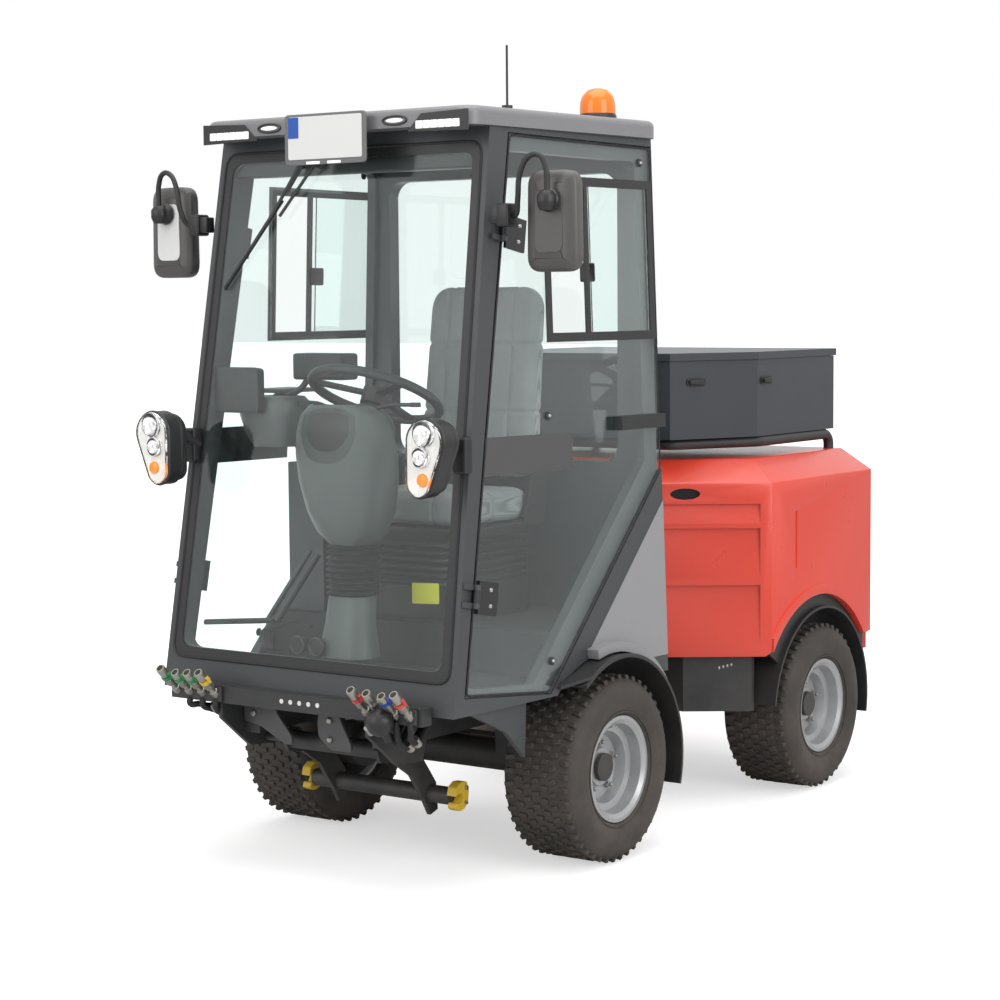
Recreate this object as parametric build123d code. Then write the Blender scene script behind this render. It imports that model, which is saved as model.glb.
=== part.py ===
from build123d import *
import os
from math import cos, hypot, radians, sin

# Compact articulated road sweeper and implement carrier. A glazed cab sits over the front axle, an
# engine body with a storage box rides on the rear axle, and a pivot between them steers it.
# Millimetres, +Z up, the cab faces -Y and +X is the vehicle's left. The origin is on the ground,
# halfway along the machine.

os.makedirs("parts", exist_ok=True)

# Driving dimensions
FRONT_AXLE_Y = -370.0      # front axle line from the origin
WHEELBASE = 1174.0
PIVOT_BACK = 587.0         # steering pivot behind the front axle
TAIL_OVERHANG = 318.0      # tail face behind the rear axle
HALF_TRACK = 455.0
FIT = 0.05                 # radial clearance of a running fit
SEAT_GAP = 0.3             # gap of a piece that rests beside another
CUT_OVER = 2.0             # how far a cut runs past the face it starts from

REAR_AXLE_Y = FRONT_AXLE_Y + WHEELBASE
PIVOT_Y = FRONT_AXLE_Y + PIVOT_BACK

# Wheels: radii, and places across the wheel from its middle plane
TYRE_R = 254.0             # 20 inch turf tyre
TYRE_HALF_WIDTH = 120.0
TREAD_HALF_WIDTH = 99.0
TREAD_R = 247.0            # tread between the lugs
LUG_COUNT = 16             # shoulder lugs on each side of the tread, one to each flat of the carcass
LUG_SHIFT = 0.25
LUG_LONG = 52.0
LUG_OUTLINE = [(24, 242), (24, 252.6), (94, 252.6), (109, 230)]   # outboard, radius
BEAD_R = 130.0
RIM_HALF_WIDTH = 104.0
RIM_LIP = 6.0
RIM_LIP_R = 144.0
SPINDLE_R = 30.0
HUB_IN = 50.0
HUB_OUT = 46.0

# Cab planes
SIDE_BASE = 535.7          # half width on the ground at the front axle
SIDE_FLARE = 0.04836       # widening per millimetre towards the rear
SIDE_LEAN = 0.036          # narrowing per millimetre of height
NOSE_AHEAD = 638.0         # windshield foot ahead of the front axle, at NOSE_Z
NOSE_Z = 550.0
GLASS_LEAN = 0.1584        # windshield's set-back per millimetre of height
CAB_BACK = 298.0           # rear wall behind the front axle
CAB_LOW = 480.0
CAB_TOP = 1950.0
CAB_WALL = 46.0
GLASS_THICK = 6.0
FLOOR_Z = 500.0
FLOOR_THICK = 20.0
PLATFORM_Z = 640.0         # top of the raised floor over the front wheels
PLATFORM_AHEAD = 205.0

# Roof
ROOF_THICK = 48.0
ROOF_FRONT = (447.0, 500.0)   # half width, and distance ahead of the front axle
ROOF_REAR = (503.0, 318.0)    # half width, and distance behind the front axle
ROOF_CORNER_R = 50.0
ROOF_EDGE_R = 18.0

# Doors, in the plane of the cab's side: distance behind the front axle, and height
DOOR_OUTLINE = [(-343, 1934), (288, 1926), (293, 1044), (-250, 492), (-602, 528)]
DOOR_OPENING = [(-334, 1894), (232, 1888), (236, 1070), (-305, 520), (-585, 545)]
DOOR_SEAL = 12.0           # seal between the pane and the cab's rebate
DOOR_GAP = 4.0
DOOR_CORNER_R = 24.0
# Sliding window in the door: hole in the pane, frame width, flange over the pane, and mullion
SLIDER_ALONG = (-205.0, 274.0)
SLIDER_HEIGHT = (1412.0, 1826.0)
SLIDER_BAR = 15.0
SLIDER_FLANGE = 9.0
SLIDER_PROUD = 4.0
SLIDER_DEEP = 13.0
SLIDER_MULLION = -26.0
SLIDER_PANE = 4.0
HANDLE_ALONG = (78.0, 286.0)
HANDLE_HEIGHT = (1160.0, 1198.0)
HANDLE_OUT = 26.0
HINGE_HEIGHTS = (776.0, 1690.0)
HINGE_OUT = 12.0           # hinge axis outside the cab's side
HINGE_R = 9.0
HINGE_PIN_R = 5.0
HINGE_HALF = 15.0
HINGE_LEAF = 42.0
HINGE_LEAF_THICK = 8.0
HINGE_PLATE = (14.0, 92.0)  # clamp plate on the pane: from the pin, and half its height below
HINGE_PLATE_HALF = 42.0

# Wings over the wheels
WING_R = 302.0
WING_THICK = 8.0
WING_INNER_X = 340.0
WING_OUTER_X = 575.0
ARCH_GAP = 5.0

# Front frame
RAIL_X = (190.0, 240.0)
RAIL_Z = (370.0, 430.0)
RAIL_AHEAD = 600.0
AXLE_TUBE_R = 45.0
MOTOR_R = 85.0
MOTOR_X = (300.0, 375.0)
FORK_LOW = (236.0, 252.0)
FORK_HIGH = (414.0, 430.0)
FORK_EYE_R = 60.0
PIVOT_PIN_R = 25.0
KNUCKLE_R = 55.0
KNUCKLE_GAP = 4.0
TRUNNION_R = 35.0
TRUNNION_Z = 330.0
TRUNNION_BACK = (40.0, 172.0)   # trunnion's run behind the pivot
COLLAR_R = 46.0
COLLAR_LENGTH = 16.0

# Front linkage, behind and above from the front axle line and the ground
LIFT_PIVOT = (-511.0, 345.0)
LIFT_TUBE = (-315.0, 198.0)
LIFT_TUBE_R = 24.0
LIFT_TUBE_HALF = 235.0
LIFT_PIN_R = 12.0
LIFT_ARM_X = (150.0, 162.0)
LIFT_EAR = (-531.0, 420.0)
BARREL_PIVOT = (-165.0, 400.0)
BARREL_R = 25.0
BARREL_LENGTH = 245.0
ROD_R = 12.0
ROD_START = 140.0          # rod's inner end from the barrel's pivot
CYLINDER_PIN_R = 8.0
ROD_EYE_PLAY = 6.0

# Rear body: plan distances from the pivot line, and heights
HOOD_LOW = 450.0
HOOD_SHOULDER = 968.0
HOOD_TOP = 1034.0
HOOD_WALL = 18.0
HOOD_HALF = 566.0
HOOD_CORNER_BACK = 251.0
HOOD_NOSE_BACK = 20.0
HOOD_NOSE_HALF = 231.0
HOOD_TAIL_BACK = WHEELBASE - PIVOT_BACK + TAIL_OVERHANG
DECK_INSET = 90.0
ARCH_R = 370.0
ARCH_AHEAD = 44.0
ARCH_Z = 236.0
# Stepped panels of the angled faces: top and bottom heights; each leans out towards its foot
HOOD_STEPS = [(906.0, 840.0), (834.0, 670.0), (664.0, 462.0)]
HOOD_STEP_DEEP = 13.0
HOOD_STEP_RUN = (14.0, 372.0)   # along the angled face from the nose
HOOD_VENT = (150.0, 936.0, 44.0, 17.0)   # oval opening: along the face, height, half sizes
HOOD_SLOT = ((612.0, 626.0), (700.0, 872.0), 4.0)   # shallow slot in the side: y, z and depth
ARCH_BEAD = (26.0, 7.0)    # raised lip round the arch: width and height
ARCH_BEAD_ANGLES = (10.0, 150.0)
TAIL_DOOR_HALF = 420.0
TAIL_DOOR_Z = (560.0, 940.0)
TAIL_DOOR_THICK = 18.0
TAIL_DOOR_GAP = 5.0

# Rear frame
REAR_RAIL_X = (150.0, 200.0)
REAR_RAIL_Z = (304.0, 370.0)
HOUSING_R = 60.0
HOUSING_BACK = (62.0, 162.0)
TAIL_BAR_HALF = 325.0
TAIL_BAR_DEEP = 30.0
TOW_EYE_R = 26.0
TOW_BORE_R = 13.0
TOW_EYE_THICK = 30.0
TOW_PIN_RELIEF = 4.0
TOW_EYE_BACK = 320.0       # tow eye behind the rear axle

# Storage box and its rail
BOX_LOW = 1096.0
BOX_HIGH = 1328.0
BOX_HALF = 450.0
BOX_CORNER_BACK = 371.0
BOX_NOSE_HALF = 316.0
BOX_NOSE_BACK = 83.0
BOX_TAIL_BACK = HOOD_TAIL_BACK - 35.0
BOX_WALL = 8.0
LID_THICK = 22.0
LID_OVERHANG = 6.0
RAIL_TUBE_R = 16.0

# Cab block
CAB_REAR_Y = FRONT_AXLE_Y + CAB_BACK

# Cab frame
QUARTER_STRIP = 60.0       # width of the dark strip between the door's edge and the light panel
ARCH_STRIP = 12.0
QUARTER_GAP = 2.0
QUARTER_THICK = 30.0
QUARTER_PROUD = 2.0
ARCH_LIP_ANGLES = (12.0, 104.0)
ARCH_LIP_THICK = 14.0
ARCH_LIP_OUT = 546.0

# Windshield face
# Wheel guard under the door's front corner: behind the front axle, and height
GUARD_OUTLINE = [(-572, 482), (-407, 408), (-325, 330), (-318, 482)]
GUARD_OUTLINE_SHIFTED = [(FRONT_AXLE_Y + along, height) for along, height in GUARD_OUTLINE]
GUARD_X = (462.0, 476.0)
WINDSHIELD_BORDER = 20.0
WINDSHIELD_FLANGE = 28.0   # how far the opening behind the glass is inset
WINDSHIELD_Z = (562.0, 1912.0)
WINDSHIELD_R = 40.0
REAR_WINDOW_HALF = 395.0
REAR_WINDOW_Z = (1060.0, 1860.0)
REAR_WINDOW_R = 50.0

# Work lamps
LAMP_ACROSS = 362.0
LAMP_SLOT = (112.0, 60.0, 32.0)
LAMP_SLOT_GAP = 3.0
HEAD_LAMP_AT = (448.0, -708.0, 1128.0)   # lens: across, behind the front axle, height
HEAD_LAMP_UPPER = (4.0, 40.0, 58.0)    # round upper part from the lens's middle: across, up, radius
HEAD_LAMP_LOWER = (-14.0, -58.0, 40.0)
HEAD_LAMP_DEEP = 92.0
LAMP_ARM_R = 12.0

# Front fenders
WING_ANGLES = (-17.0, 126.0)
WING_LIP = [(-120, 532), (-120, 541), (-226, 506), (-226, 498)]   # behind the front axle, and height
WING_LIP_PLAN = [(513, -226), (522, -226), (WING_OUTER_X, -160), (WING_OUTER_X, -120), (513, -120)]
WING_STRIP_ANGLES = (80.0, 112.0)   # mounting strip between the wing and the cab's arch
WING_STRIP_X = (474.0, 506.0)

# Front chassis
RAIL_BACK = 330.0
MOUNT_POST_R = 25.0
FRONT_POST_AHEAD = 530.0

# Linkage carrier
# Side plates of the linkage carrier: behind the front axle, and height
CARRIER_OUTLINE = [
    (-692, 505), (-692, 420), (-580, 330), (-470, 320), (-430, 430), (-600, 430), (-650, 460), (-652, 505)
]
CARRIER_THICK = 12.0
BEAM_HALF = 420.0

# Lift frame
# Lift arm: behind the front axle, and height
ARM_OUTLINE = [(-545, 350), (-511, 380), (-440, 345), (-350, 300), (-292, 225), (-285, 150), (-318, 140),
               (-345, 185), (-400, 260), (-470, 305), (-530, 315)]

# Quick hooks
HOOK_THICK = 30.0
# Quick hook's plate: behind the front axle, and height
HOOK_OUTLINE = [(-345, 214), (-330, 236), (-296, 240), (-282, 214), (-290, 176), (-318, 162), (-342, 176)]

# Coupler banks
COUPLER_X = (255.0, 300.0, 345.0, 390.0)
COUPLER_R = 13.0
COUPLER_FOOT = (-690.0, 480.0)   # behind the front axle, and height
COUPLER_HEAD = (-779.3, 560.0)
COUPLER_PLATE_INNER = 235.0
COUPLER_PLATE_THICK = 10.0
COUPLER_PLATE_Z = (462.0, 503.0)
COUPLER_FOOT_AHEAD = 8.0
COUPLER_HEAD_BACK = 9.0

# Tail knuckle
TAIL_HINGE_Z = (640.0, 860.0)
TAIL_HINGE_X = TAIL_DOOR_HALF + TAIL_DOOR_GAP / 2
TAIL_HINGE_Y = PIVOT_Y + HOOD_TAIL_BACK + HINGE_OUT

# Tail door
SLOT_COUNT = 8
SLOT_PITCH = 34.0
SLOT_HIGH = 14.0
SLOT_HALF = 300.0

# Rear liners
LINER_FACE_X = (HOOD_HALF - HOOD_WALL - SEAT_GAP - 10, HOOD_HALF - HOOD_WALL - SEAT_GAP)
LINER_FACE_R = 400.0

# Side tanks
# Side tanks under the angled faces: across, and behind the rear axle
TANK_OUTLINE = [(REAR_RAIL_X[1], -456), (331, -456), (500, -339), (500, -325), (REAR_RAIL_X[1], -325)]
TANK_LOW = 280.0

# Engine block
TAIL_BAR_Z = (395.0, HOOD_LOW - SEAT_GAP)
ENGINE_HALF = 200.0
ENGINE_BACK = (-247.0, 193.0)   # behind the rear axle
ENGINE_TOP = 820.0

# Tail lamps
TAIL_LAMP_X = (450.0, 545.0)
TAIL_LAMP_LOW = 392.0

# Box lid
LID_GAP = 1.0
LID_HINGE_X = (-300.0, 300.0)
LID_HINGE_Y = PIVOT_Y + BOX_TAIL_BACK + LID_OVERHANG + 5 + HINGE_R
LID_HINGE_Z = BOX_HIGH + LID_GAP + LID_THICK / 2

# Seat
SEAT_HALF = 215.0
SEAT_RUN = (-240.0, 140.0)   # cushion's ends behind the front axle
SEAT_PAN_Z = 900.0
SEAT_TOP_Z = 1000.0
SEAT_PLATE = 8.0
# Seat back's bracket: behind the front axle, and height
SEAT_BRACKET = [(40, 892), (140, 892), (176, 1100), (112, 1100)]

# Steer plane
WHEEL_CENTRE = (-325.0, 1262.0)   # steering wheel: behind the front axle, and height
WHEEL_TILT = 25.0
STEER_R = 175.0
STEER_TUBE_R = 13.0
STEER_SHAFT_R = 11.0

# From axle
COLUMN_FOOT_Y = FRONT_AXLE_Y - 430
CONSOLE_X = (-425.0, -300.0)
CONSOLE_RUN = (-190.0, 180.0)    # ends behind the front axle
CONSOLE_TOP = 1060.0
POD_STALK = ((-360.0, -170.0, 1040.0), (-330.0, -300.0, 1200.0))   # across, behind the axle, up
POD_STALK_R = 16.0
POD_CENTRE = (-325.0, -315.0, 1225.0)
POD_R = 46.0

# Plate holder
PLATE_HALF = 136.0
PLATE_Z = (CAB_TOP - 88.0, CAB_TOP + 48.0)
PLATE_THICK = 10.0
PLATE_ARM = ((-60.0, 60.0), (6.0, 26.0))   # bracket: across, and above the cab's top
PLATE_AHEAD = 531.0

# Beacon
BEACON_AT = (370.0, 200.0)   # across, and behind the front axle
BEACON_R = 52.0
BEACON_HIGH = 92.0
ANTENNA_AT = (400.0, -275.0)
ANTENNA_HIGH = 165.0

# Mirrors
MIRROR_AT = (636.0, -413.0, 1706.0)   # across, behind the front axle, height
MIRROR_SIZE = (150.0, 46.0, 250.0)
MIRROR_TUBE_R = 9.0
MIRROR_FOOT_Z = 1700.0


def block(x, y, z):
    """A box from its low and high places along each axis."""
    return Pos((x[0] + x[1]) / 2, (y[0] + y[1]) / 2, (z[0] + z[1]) / 2) * Box(
        x[1] - x[0], y[1] - y[0], z[1] - z[0]
    )


def x_prism(outline, x0, x1):
    """A prism along X from (y, z) points or a face in the YZ plane."""
    face = Polygon(*outline, align=None) if isinstance(outline, list) else outline
    return extrude(Plane.YZ.offset(x0) * face, amount=x1 - x0, dir=(1, 0, 0))


def z_prism(outline, z0, z1):
    """A prism along Z from (x, y) points."""
    face = Plane.XY.offset(z0) * Polygon(*outline, align=None)
    return extrude(face, amount=z1 - z0, dir=(0, 0, 1))


def bar(start, end, radius):
    """A round bar from one point to another."""
    run = Vector(*end) - Vector(*start)
    return extrude(Plane(origin=start, z_dir=run) * Circle(radius), amount=run.length)


def x_bar(radius, x0, x1, y, z):
    return bar((x0, y, z), (x1, y, z), radius)


def y_bar(radius, y0, y1, x, z):
    return bar((x, y0, z), (x, y1, z), radius)


def z_bar(radius, z0, z1, x, y):
    return bar((x, y, z0), (x, y, z1), radius)


def flip(shape):
    """The same shape on the other side of the machine."""
    return shape.mirror(Plane.YZ)


def pair(shape):
    return [shape, flip(shape)]


def write(name, *shapes):
    """Write one sub-part, with every solid of the shapes given."""
    solids = [solid for shape in shapes for solid in shape.solids()]
    export_step(solids[0] if len(solids) == 1 else Compound(solids), f"parts/{name}.step")


def side_x(y, z):
    """Half width of the cab's outside at a place."""
    return SIDE_BASE + SIDE_FLARE * (y - FRONT_AXLE_Y) - SIDE_LEAN * z


def glass_y(z):
    """Front plane of the cab at a height."""
    return FRONT_AXLE_Y - NOSE_AHEAD + GLASS_LEAN * (z - NOSE_Z)


SIDE = Plane(
    origin=(SIDE_BASE, FRONT_AXLE_Y, 0),
    x_dir=(SIDE_FLARE, 1, 0),
    z_dir=(1, -SIDE_FLARE, SIDE_LEAN),
)
OTHER_SIDE = Plane(
    origin=(-SIDE_BASE, FRONT_AXLE_Y, 0),
    x_dir=(-SIDE_FLARE, 1, 0),
    z_dir=(-1, -SIDE_FLARE, SIDE_LEAN),
)
WINDSHIELD = Plane(origin=(0, glass_y(0), 0), x_dir=(1, 0, 0), z_dir=(0, -1, GLASS_LEAN))


def cab_block(inset, z0, z1):
    """The cab's outer form, or its inside when inset by the wall, between two heights."""
    wide = 2 * SIDE_BASE
    form = block((-wide, wide), (-2 * wide, CAB_REAR_Y - inset), (z0, z1))
    for wall in (SIDE, OTHER_SIDE, WINDSHIELD):
        form = split(form, bisect_by=wall.offset(-inset), keep=Keep.BOTTOM)
    return form


def side_slab(face, depth, out=0.0):
    """A slab in the left side of the cab, from its outside inwards."""
    return extrude(SIDE.offset(out) * face, amount=depth, dir=-SIDE.z_dir)


def door_face(growth):
    """The door's outline, grown or shrunk."""
    return offset(Polygon(*DOOR_OUTLINE, align=None), amount=growth, kind=Kind.INTERSECTION)


def side_rectangle(along, height, growth=0.0):
    """A rectangle in the plane of the side, from its runs behind the front axle and up."""
    middle = Pos((along[0] + along[1]) / 2, (height[0] + height[1]) / 2)
    return middle * Rectangle(along[1] - along[0] + 2 * growth, height[1] - height[0] + 2 * growth)


def hinge_plane(height):
    """A door hinge's own plane: Z along the pin, X towards the door, Y into the cab."""
    head, foot = DOOR_OUTLINE[0], DOOR_OUTLINE[-1]
    share = (height - foot[1]) / (head[1] - foot[1])
    along = foot[0] + share * (head[0] - foot[0]) - DOOR_GAP / 2
    upper = SIDE.from_local_coords((head[0], head[1], HINGE_OUT))
    lower = SIDE.from_local_coords((foot[0], foot[1], HINGE_OUT))
    pin = upper - lower
    return Plane(
        origin=SIDE.from_local_coords((along, height, HINGE_OUT)),
        x_dir=pin.cross(SIDE.z_dir),
        z_dir=pin,
    )


def hinge_knuckle(height, low, high, leaf):
    """One knuckle of a door hinge and its leaf, before the pin's hole is cut."""
    knuckle = extrude(Plane.XY.offset(low) * Circle(HINGE_R), amount=high - low)
    knuckle = knuckle + block(leaf, (HINGE_OUT - HINGE_LEAF_THICK, HINGE_OUT), (low, high))
    return hinge_plane(height) * knuckle


def hinge_bore(height, radius, half):
    hole = extrude(Plane.XY.offset(-half) * Circle(radius), amount=2 * half)
    return hinge_plane(height) * hole


def wheel_arch(radius):
    """The space over both front wheels that the cab leaves free."""
    left = x_bar(radius, WING_INNER_X - ARCH_GAP, WING_OUTER_X + HALF_TRACK, FRONT_AXLE_Y, TYRE_R)
    return left + flip(left)


def quarter_face():
    """The light panel behind the door's slanted edge, in the plane of the side."""
    slope_low, slope_high = DOOR_OUTLINE[3], DOOR_OUTLINE[2]
    run = Vector(*slope_high) - Vector(*slope_low)
    back = Vector(run.Y, -run.X).normalized() * (DOOR_GAP + QUARTER_STRIP)
    base = Vector(*slope_low) + back
    low, rear = CAB_LOW + CAB_WALL, CAB_BACK - QUARTER_GAP
    start = base.X + (low - base.Y) * run.X / run.Y
    top = base.Y + (rear - base.X) * run.Y / run.X
    wheel = Pos(0, TYRE_R) * Circle(WING_R + WING_THICK + ARCH_GAP + ARCH_STRIP)
    return Polygon((start, low), (rear, low), (rear, top), align=None) - wheel


def make_cab_frame():
    """Posts, rails, sills and rear wall: one welded shell with its openings cut."""
    shell = cab_block(0, CAB_LOW, CAB_TOP) - cab_block(CAB_WALL, CAB_LOW, CAB_TOP)
    opening = Polygon(*DOOR_OPENING, align=None)
    rebate = side_slab(door_face(DOOR_GAP), GLASS_THICK + DOOR_SEAL + CUT_OVER, CUT_OVER)
    through = side_slab(fillet(opening.vertices(), DOOR_CORNER_R), 2 * CAB_WALL, CUT_OVER)
    quarter = side_slab(quarter_face(), 2 * CAB_WALL, CUT_OVER)
    for cut in (rebate, through, quarter):
        shell = shell - cut - flip(cut)
    shell = shell - extrude(windshield_face(WINDSHIELD_FLANGE), amount=CAB_WALL + CUT_OVER, both=True)
    shell = shell - extrude(windshield_face(-SEAT_GAP), amount=GLASS_THICK + SEAT_GAP, both=True)
    shell = shell - extrude(rear_window_face(), amount=CAB_WALL + CUT_OVER, both=True)
    shell = shell - wheel_arch(WING_R + WING_THICK + ARCH_GAP)
    guard = x_prism(GUARD_OUTLINE_SHIFTED, GUARD_X[0], GUARD_X[1])
    shell = shell + guard + flip(guard)
    for height in HINGE_HEIGHTS:
        for low, high in ((HINGE_HALF + 1, 2 * HINGE_HALF), (-2 * HINGE_HALF, -HINGE_HALF - 1)):
            knuckle = hinge_knuckle(height, low, high, (-HINGE_LEAF, 0))
            shell = shell + knuckle + flip(knuckle)
        pin = hinge_bore(height, HINGE_PIN_R, 2 * HINGE_HALF)
        shell = shell + pin + flip(pin)
    return shell


def windshield_face(inset):
    """The windshield's outline inset in its leaning plane."""
    stretch = hypot(1, GLASS_LEAN)
    low, high = WINDSHIELD_Z[0] + inset, WINDSHIELD_Z[1] - inset
    low_half = side_x(glass_y(low), low) - WINDSHIELD_BORDER - inset
    high_half = side_x(glass_y(high), high) - WINDSHIELD_BORDER - inset
    outline = Polygon(
        (-low_half, low * stretch),
        (low_half, low * stretch),
        (high_half, high * stretch),
        (-high_half, high * stretch),
        align=None,
    )
    return WINDSHIELD * fillet(outline.vertices(), WINDSHIELD_R)


def rear_window_face():
    low, high = REAR_WINDOW_Z
    outline = Pos(0, (low + high) / 2) * Rectangle(2 * REAR_WINDOW_HALF, high - low)
    rear = Plane(origin=(0, CAB_REAR_Y, 0), x_dir=(-1, 0, 0), z_dir=(0, 1, 0))
    return rear * fillet(outline.vertices(), REAR_WINDOW_R)


def make_cab_glass():
    """Windshield flush in its opening, and the rear window."""
    front = extrude(windshield_face(0), amount=GLASS_THICK, dir=-WINDSHIELD.z_dir)
    back = extrude(rear_window_face(), amount=GLASS_THICK, dir=(0, -1, 0))
    return [front, back]


def make_quarter_panels():
    """Light panel behind each door, with a flared lip that follows the wheel arch."""
    panel = side_slab(quarter_face(), QUARTER_THICK + QUARTER_PROUD, QUARTER_PROUD)
    lip_r = WING_R + WING_THICK + ARCH_GAP + SEAT_GAP
    thick = ARCH_STRIP + ARCH_LIP_THICK
    lip = ring_sector(lip_r, thick, *ARCH_LIP_ANGLES, WING_INNER_X, ARCH_LIP_OUT, FRONT_AXLE_Y, TYRE_R)
    return pair(panel + (lip - cab_block(-SEAT_GAP, 0, CAB_TOP)))


def make_cab_tub():
    """Floor of the footwell and the raised platform over the wheels."""
    step_y = FRONT_AXLE_Y - PLATFORM_AHEAD
    inside = cab_block(CAB_WALL + SEAT_GAP, FLOOR_Z, PLATFORM_Z)
    wide = 2 * SIDE_BASE
    floor = block((-wide, wide), (-4 * wide, step_y), (FLOOR_Z, FLOOR_Z + FLOOR_THICK))
    riser = block((-wide, wide), (step_y - FLOOR_THICK, step_y), (FLOOR_Z, PLATFORM_Z))
    top = block((-wide, wide), (step_y - FLOOR_THICK, wide), (PLATFORM_Z - FLOOR_THICK, PLATFORM_Z))
    tub = (floor + riser + top) & inside
    return tub - wheel_arch(WING_R + WING_THICK + ARCH_GAP)


def make_roof():
    front_half, ahead = ROOF_FRONT
    rear_half, behind = ROOF_REAR
    corners = [
        (-front_half, FRONT_AXLE_Y - ahead),
        (front_half, FRONT_AXLE_Y - ahead),
        (rear_half, FRONT_AXLE_Y + behind),
        (-rear_half, FRONT_AXLE_Y + behind),
    ]
    roof = z_prism(corners, CAB_TOP, CAB_TOP + ROOF_THICK)
    roof = fillet(roof.edges().filter_by(Axis.Z), ROOF_CORNER_R)
    roof = fillet(roof.faces().sort_by(Axis.Z)[-1].edges(), ROOF_EDGE_R)
    for x in (-LAMP_ACROSS, LAMP_ACROSS):
        front = FRONT_AXLE_Y - ahead
        recess = block(
            (x - LAMP_SLOT[0] / 2, x + LAMP_SLOT[0] / 2),
            (front, front + LAMP_SLOT[1]),
            (CAB_TOP, CAB_TOP + LAMP_SLOT[2]),
        )
        roof = roof - recess
    return roof


def make_work_lamps():
    """Head lamps on arms at the posts, and two lamps in the roof's front edge."""
    lamps = []
    across, ahead, height = HEAD_LAMP_AT
    lens_y = FRONT_AXLE_Y + ahead
    plane = Plane(origin=(across, lens_y + HEAD_LAMP_DEEP, height), z_dir=(0, -1, 0), x_dir=(1, 0, 0))
    rounds = []
    for x, z, radius in (HEAD_LAMP_UPPER, HEAD_LAMP_LOWER):
        rounds.append(Pos(x, z) * Circle(radius))
    shell = make_hull([edge for part in rounds for edge in part.edges()])
    head = extrude(plane * shell, amount=HEAD_LAMP_DEEP)
    arm = y_bar(LAMP_ARM_R, lens_y + HEAD_LAMP_DEEP / 2, glass_y(height) + CAB_WALL, across, height)
    head = head + (arm - cab_block(-SEAT_GAP, CAB_LOW, CAB_TOP))
    lamps = lamps + pair(head)
    front = FRONT_AXLE_Y - ROOF_FRONT[1]
    for x in (-LAMP_ACROSS, LAMP_ACROSS):
        half = LAMP_SLOT[0] / 2 - LAMP_SLOT_GAP
        lamps.append(
            block(
                (x - half, x + half),
                (front + LAMP_SLOT_GAP, front + LAMP_SLOT[1]),
                (CAB_TOP + LAMP_SLOT_GAP, CAB_TOP + LAMP_SLOT[2]),
            )
        )
    return lamps


def make_door():
    """Left door's fittings: hinge clamps, sliding window frame with its mullion, and handle."""
    fittings = []
    for height in HINGE_HEIGHTS:
        clamp = hinge_knuckle(height, -HINGE_HALF, HINGE_HALF, (0, HINGE_PLATE[1]))
        plate = block(
            HINGE_PLATE, (HINGE_OUT - HINGE_LEAF_THICK, HINGE_OUT), (-HINGE_PLATE_HALF, HINGE_PLATE_HALF)
        )
        clamp = clamp + hinge_plane(height) * plate
        fittings.append(clamp - hinge_bore(height, HINGE_PIN_R + FIT, 2 * HINGE_HALF))
    frame = side_slab(slider_face(SLIDER_FLANGE), SLIDER_PROUD, SLIDER_PROUD + SEAT_GAP)
    frame = frame + side_slab(slider_face(-SEAT_GAP), SLIDER_DEEP, SLIDER_PROUD + SEAT_GAP)
    frame = frame - side_slab(slider_face(-SLIDER_BAR), 2 * SLIDER_DEEP, SLIDER_DEEP)
    mullion = (SLIDER_MULLION - SLIDER_BAR / 2, SLIDER_MULLION + SLIDER_BAR / 2)
    post = side_rectangle(mullion, SLIDER_HEIGHT, -SEAT_GAP)
    fittings.append(frame + side_slab(post, GLASS_THICK + SLIDER_PROUD, SLIDER_PROUD))
    grip = side_rectangle(HANDLE_ALONG, HANDLE_HEIGHT)
    fittings.append(side_slab(grip, HANDLE_OUT - SEAT_GAP, HANDLE_OUT))
    return fittings


def slider_face(growth):
    """The sliding window's outline, grown or shrunk."""
    return side_rectangle(SLIDER_ALONG, SLIDER_HEIGHT, growth)


def make_door_glass():
    """The door's one large pane with the sliding window's hole, and the two sliding panes."""
    pane = side_slab(door_face(0) - slider_face(0), GLASS_THICK)
    height = (SLIDER_HEIGHT[0] + SLIDER_BAR, SLIDER_HEIGHT[1] - SLIDER_BAR)
    middle = SLIDER_MULLION + SLIDER_BAR / 2
    rear = SLIDER_ALONG[1] - SLIDER_BAR
    fixed = side_rectangle((middle, rear), height, -SEAT_GAP)
    slid = side_rectangle((middle + SLIDER_BAR, rear), height, -SEAT_GAP)
    return [
        pane,
        side_slab(fixed, SLIDER_PANE),
        side_slab(slid, SLIDER_PANE, -SLIDER_PANE - SEAT_GAP),
    ]


def ring_sector(radius, thick, start, end, x0, x1, y, z):
    """Part of a tube along X between two angles, counted from the rear up and forward."""
    reach = 2 * (radius + thick)
    points = [(0.0, 0.0)]
    steps = 4
    for i in range(steps + 1):
        angle = radians(start + (end - start) * i / steps)
        points.append((reach * cos(angle), reach * sin(angle)))
    wedge = Polygon(*points, align=None)
    ring = (Circle(radius + thick) - Circle(radius)) & wedge
    return x_prism(Pos(y, z) * ring, x0, x1)


def make_front_fenders():
    """Black wings over the front tyres, with a lip that runs forward under the door."""
    wing = ring_sector(
        WING_R, WING_THICK, *WING_ANGLES, WING_INNER_X, WING_OUTER_X, FRONT_AXLE_Y, TYRE_R
    )
    lip = x_prism([(FRONT_AXLE_Y + along, up) for along, up in WING_LIP], WING_INNER_X, WING_OUTER_X)
    plan = [(x, FRONT_AXLE_Y + along) for x, along in WING_LIP_PLAN]
    lip = lip & z_prism(plan, FLOOR_Z - CAB_WALL, PLATFORM_Z)
    strip = ring_sector(
        WING_R + WING_THICK, ARCH_GAP - SEAT_GAP, *WING_STRIP_ANGLES, *WING_STRIP_X, FRONT_AXLE_Y, TYRE_R
    )
    return pair(wing + lip + strip)


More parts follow.
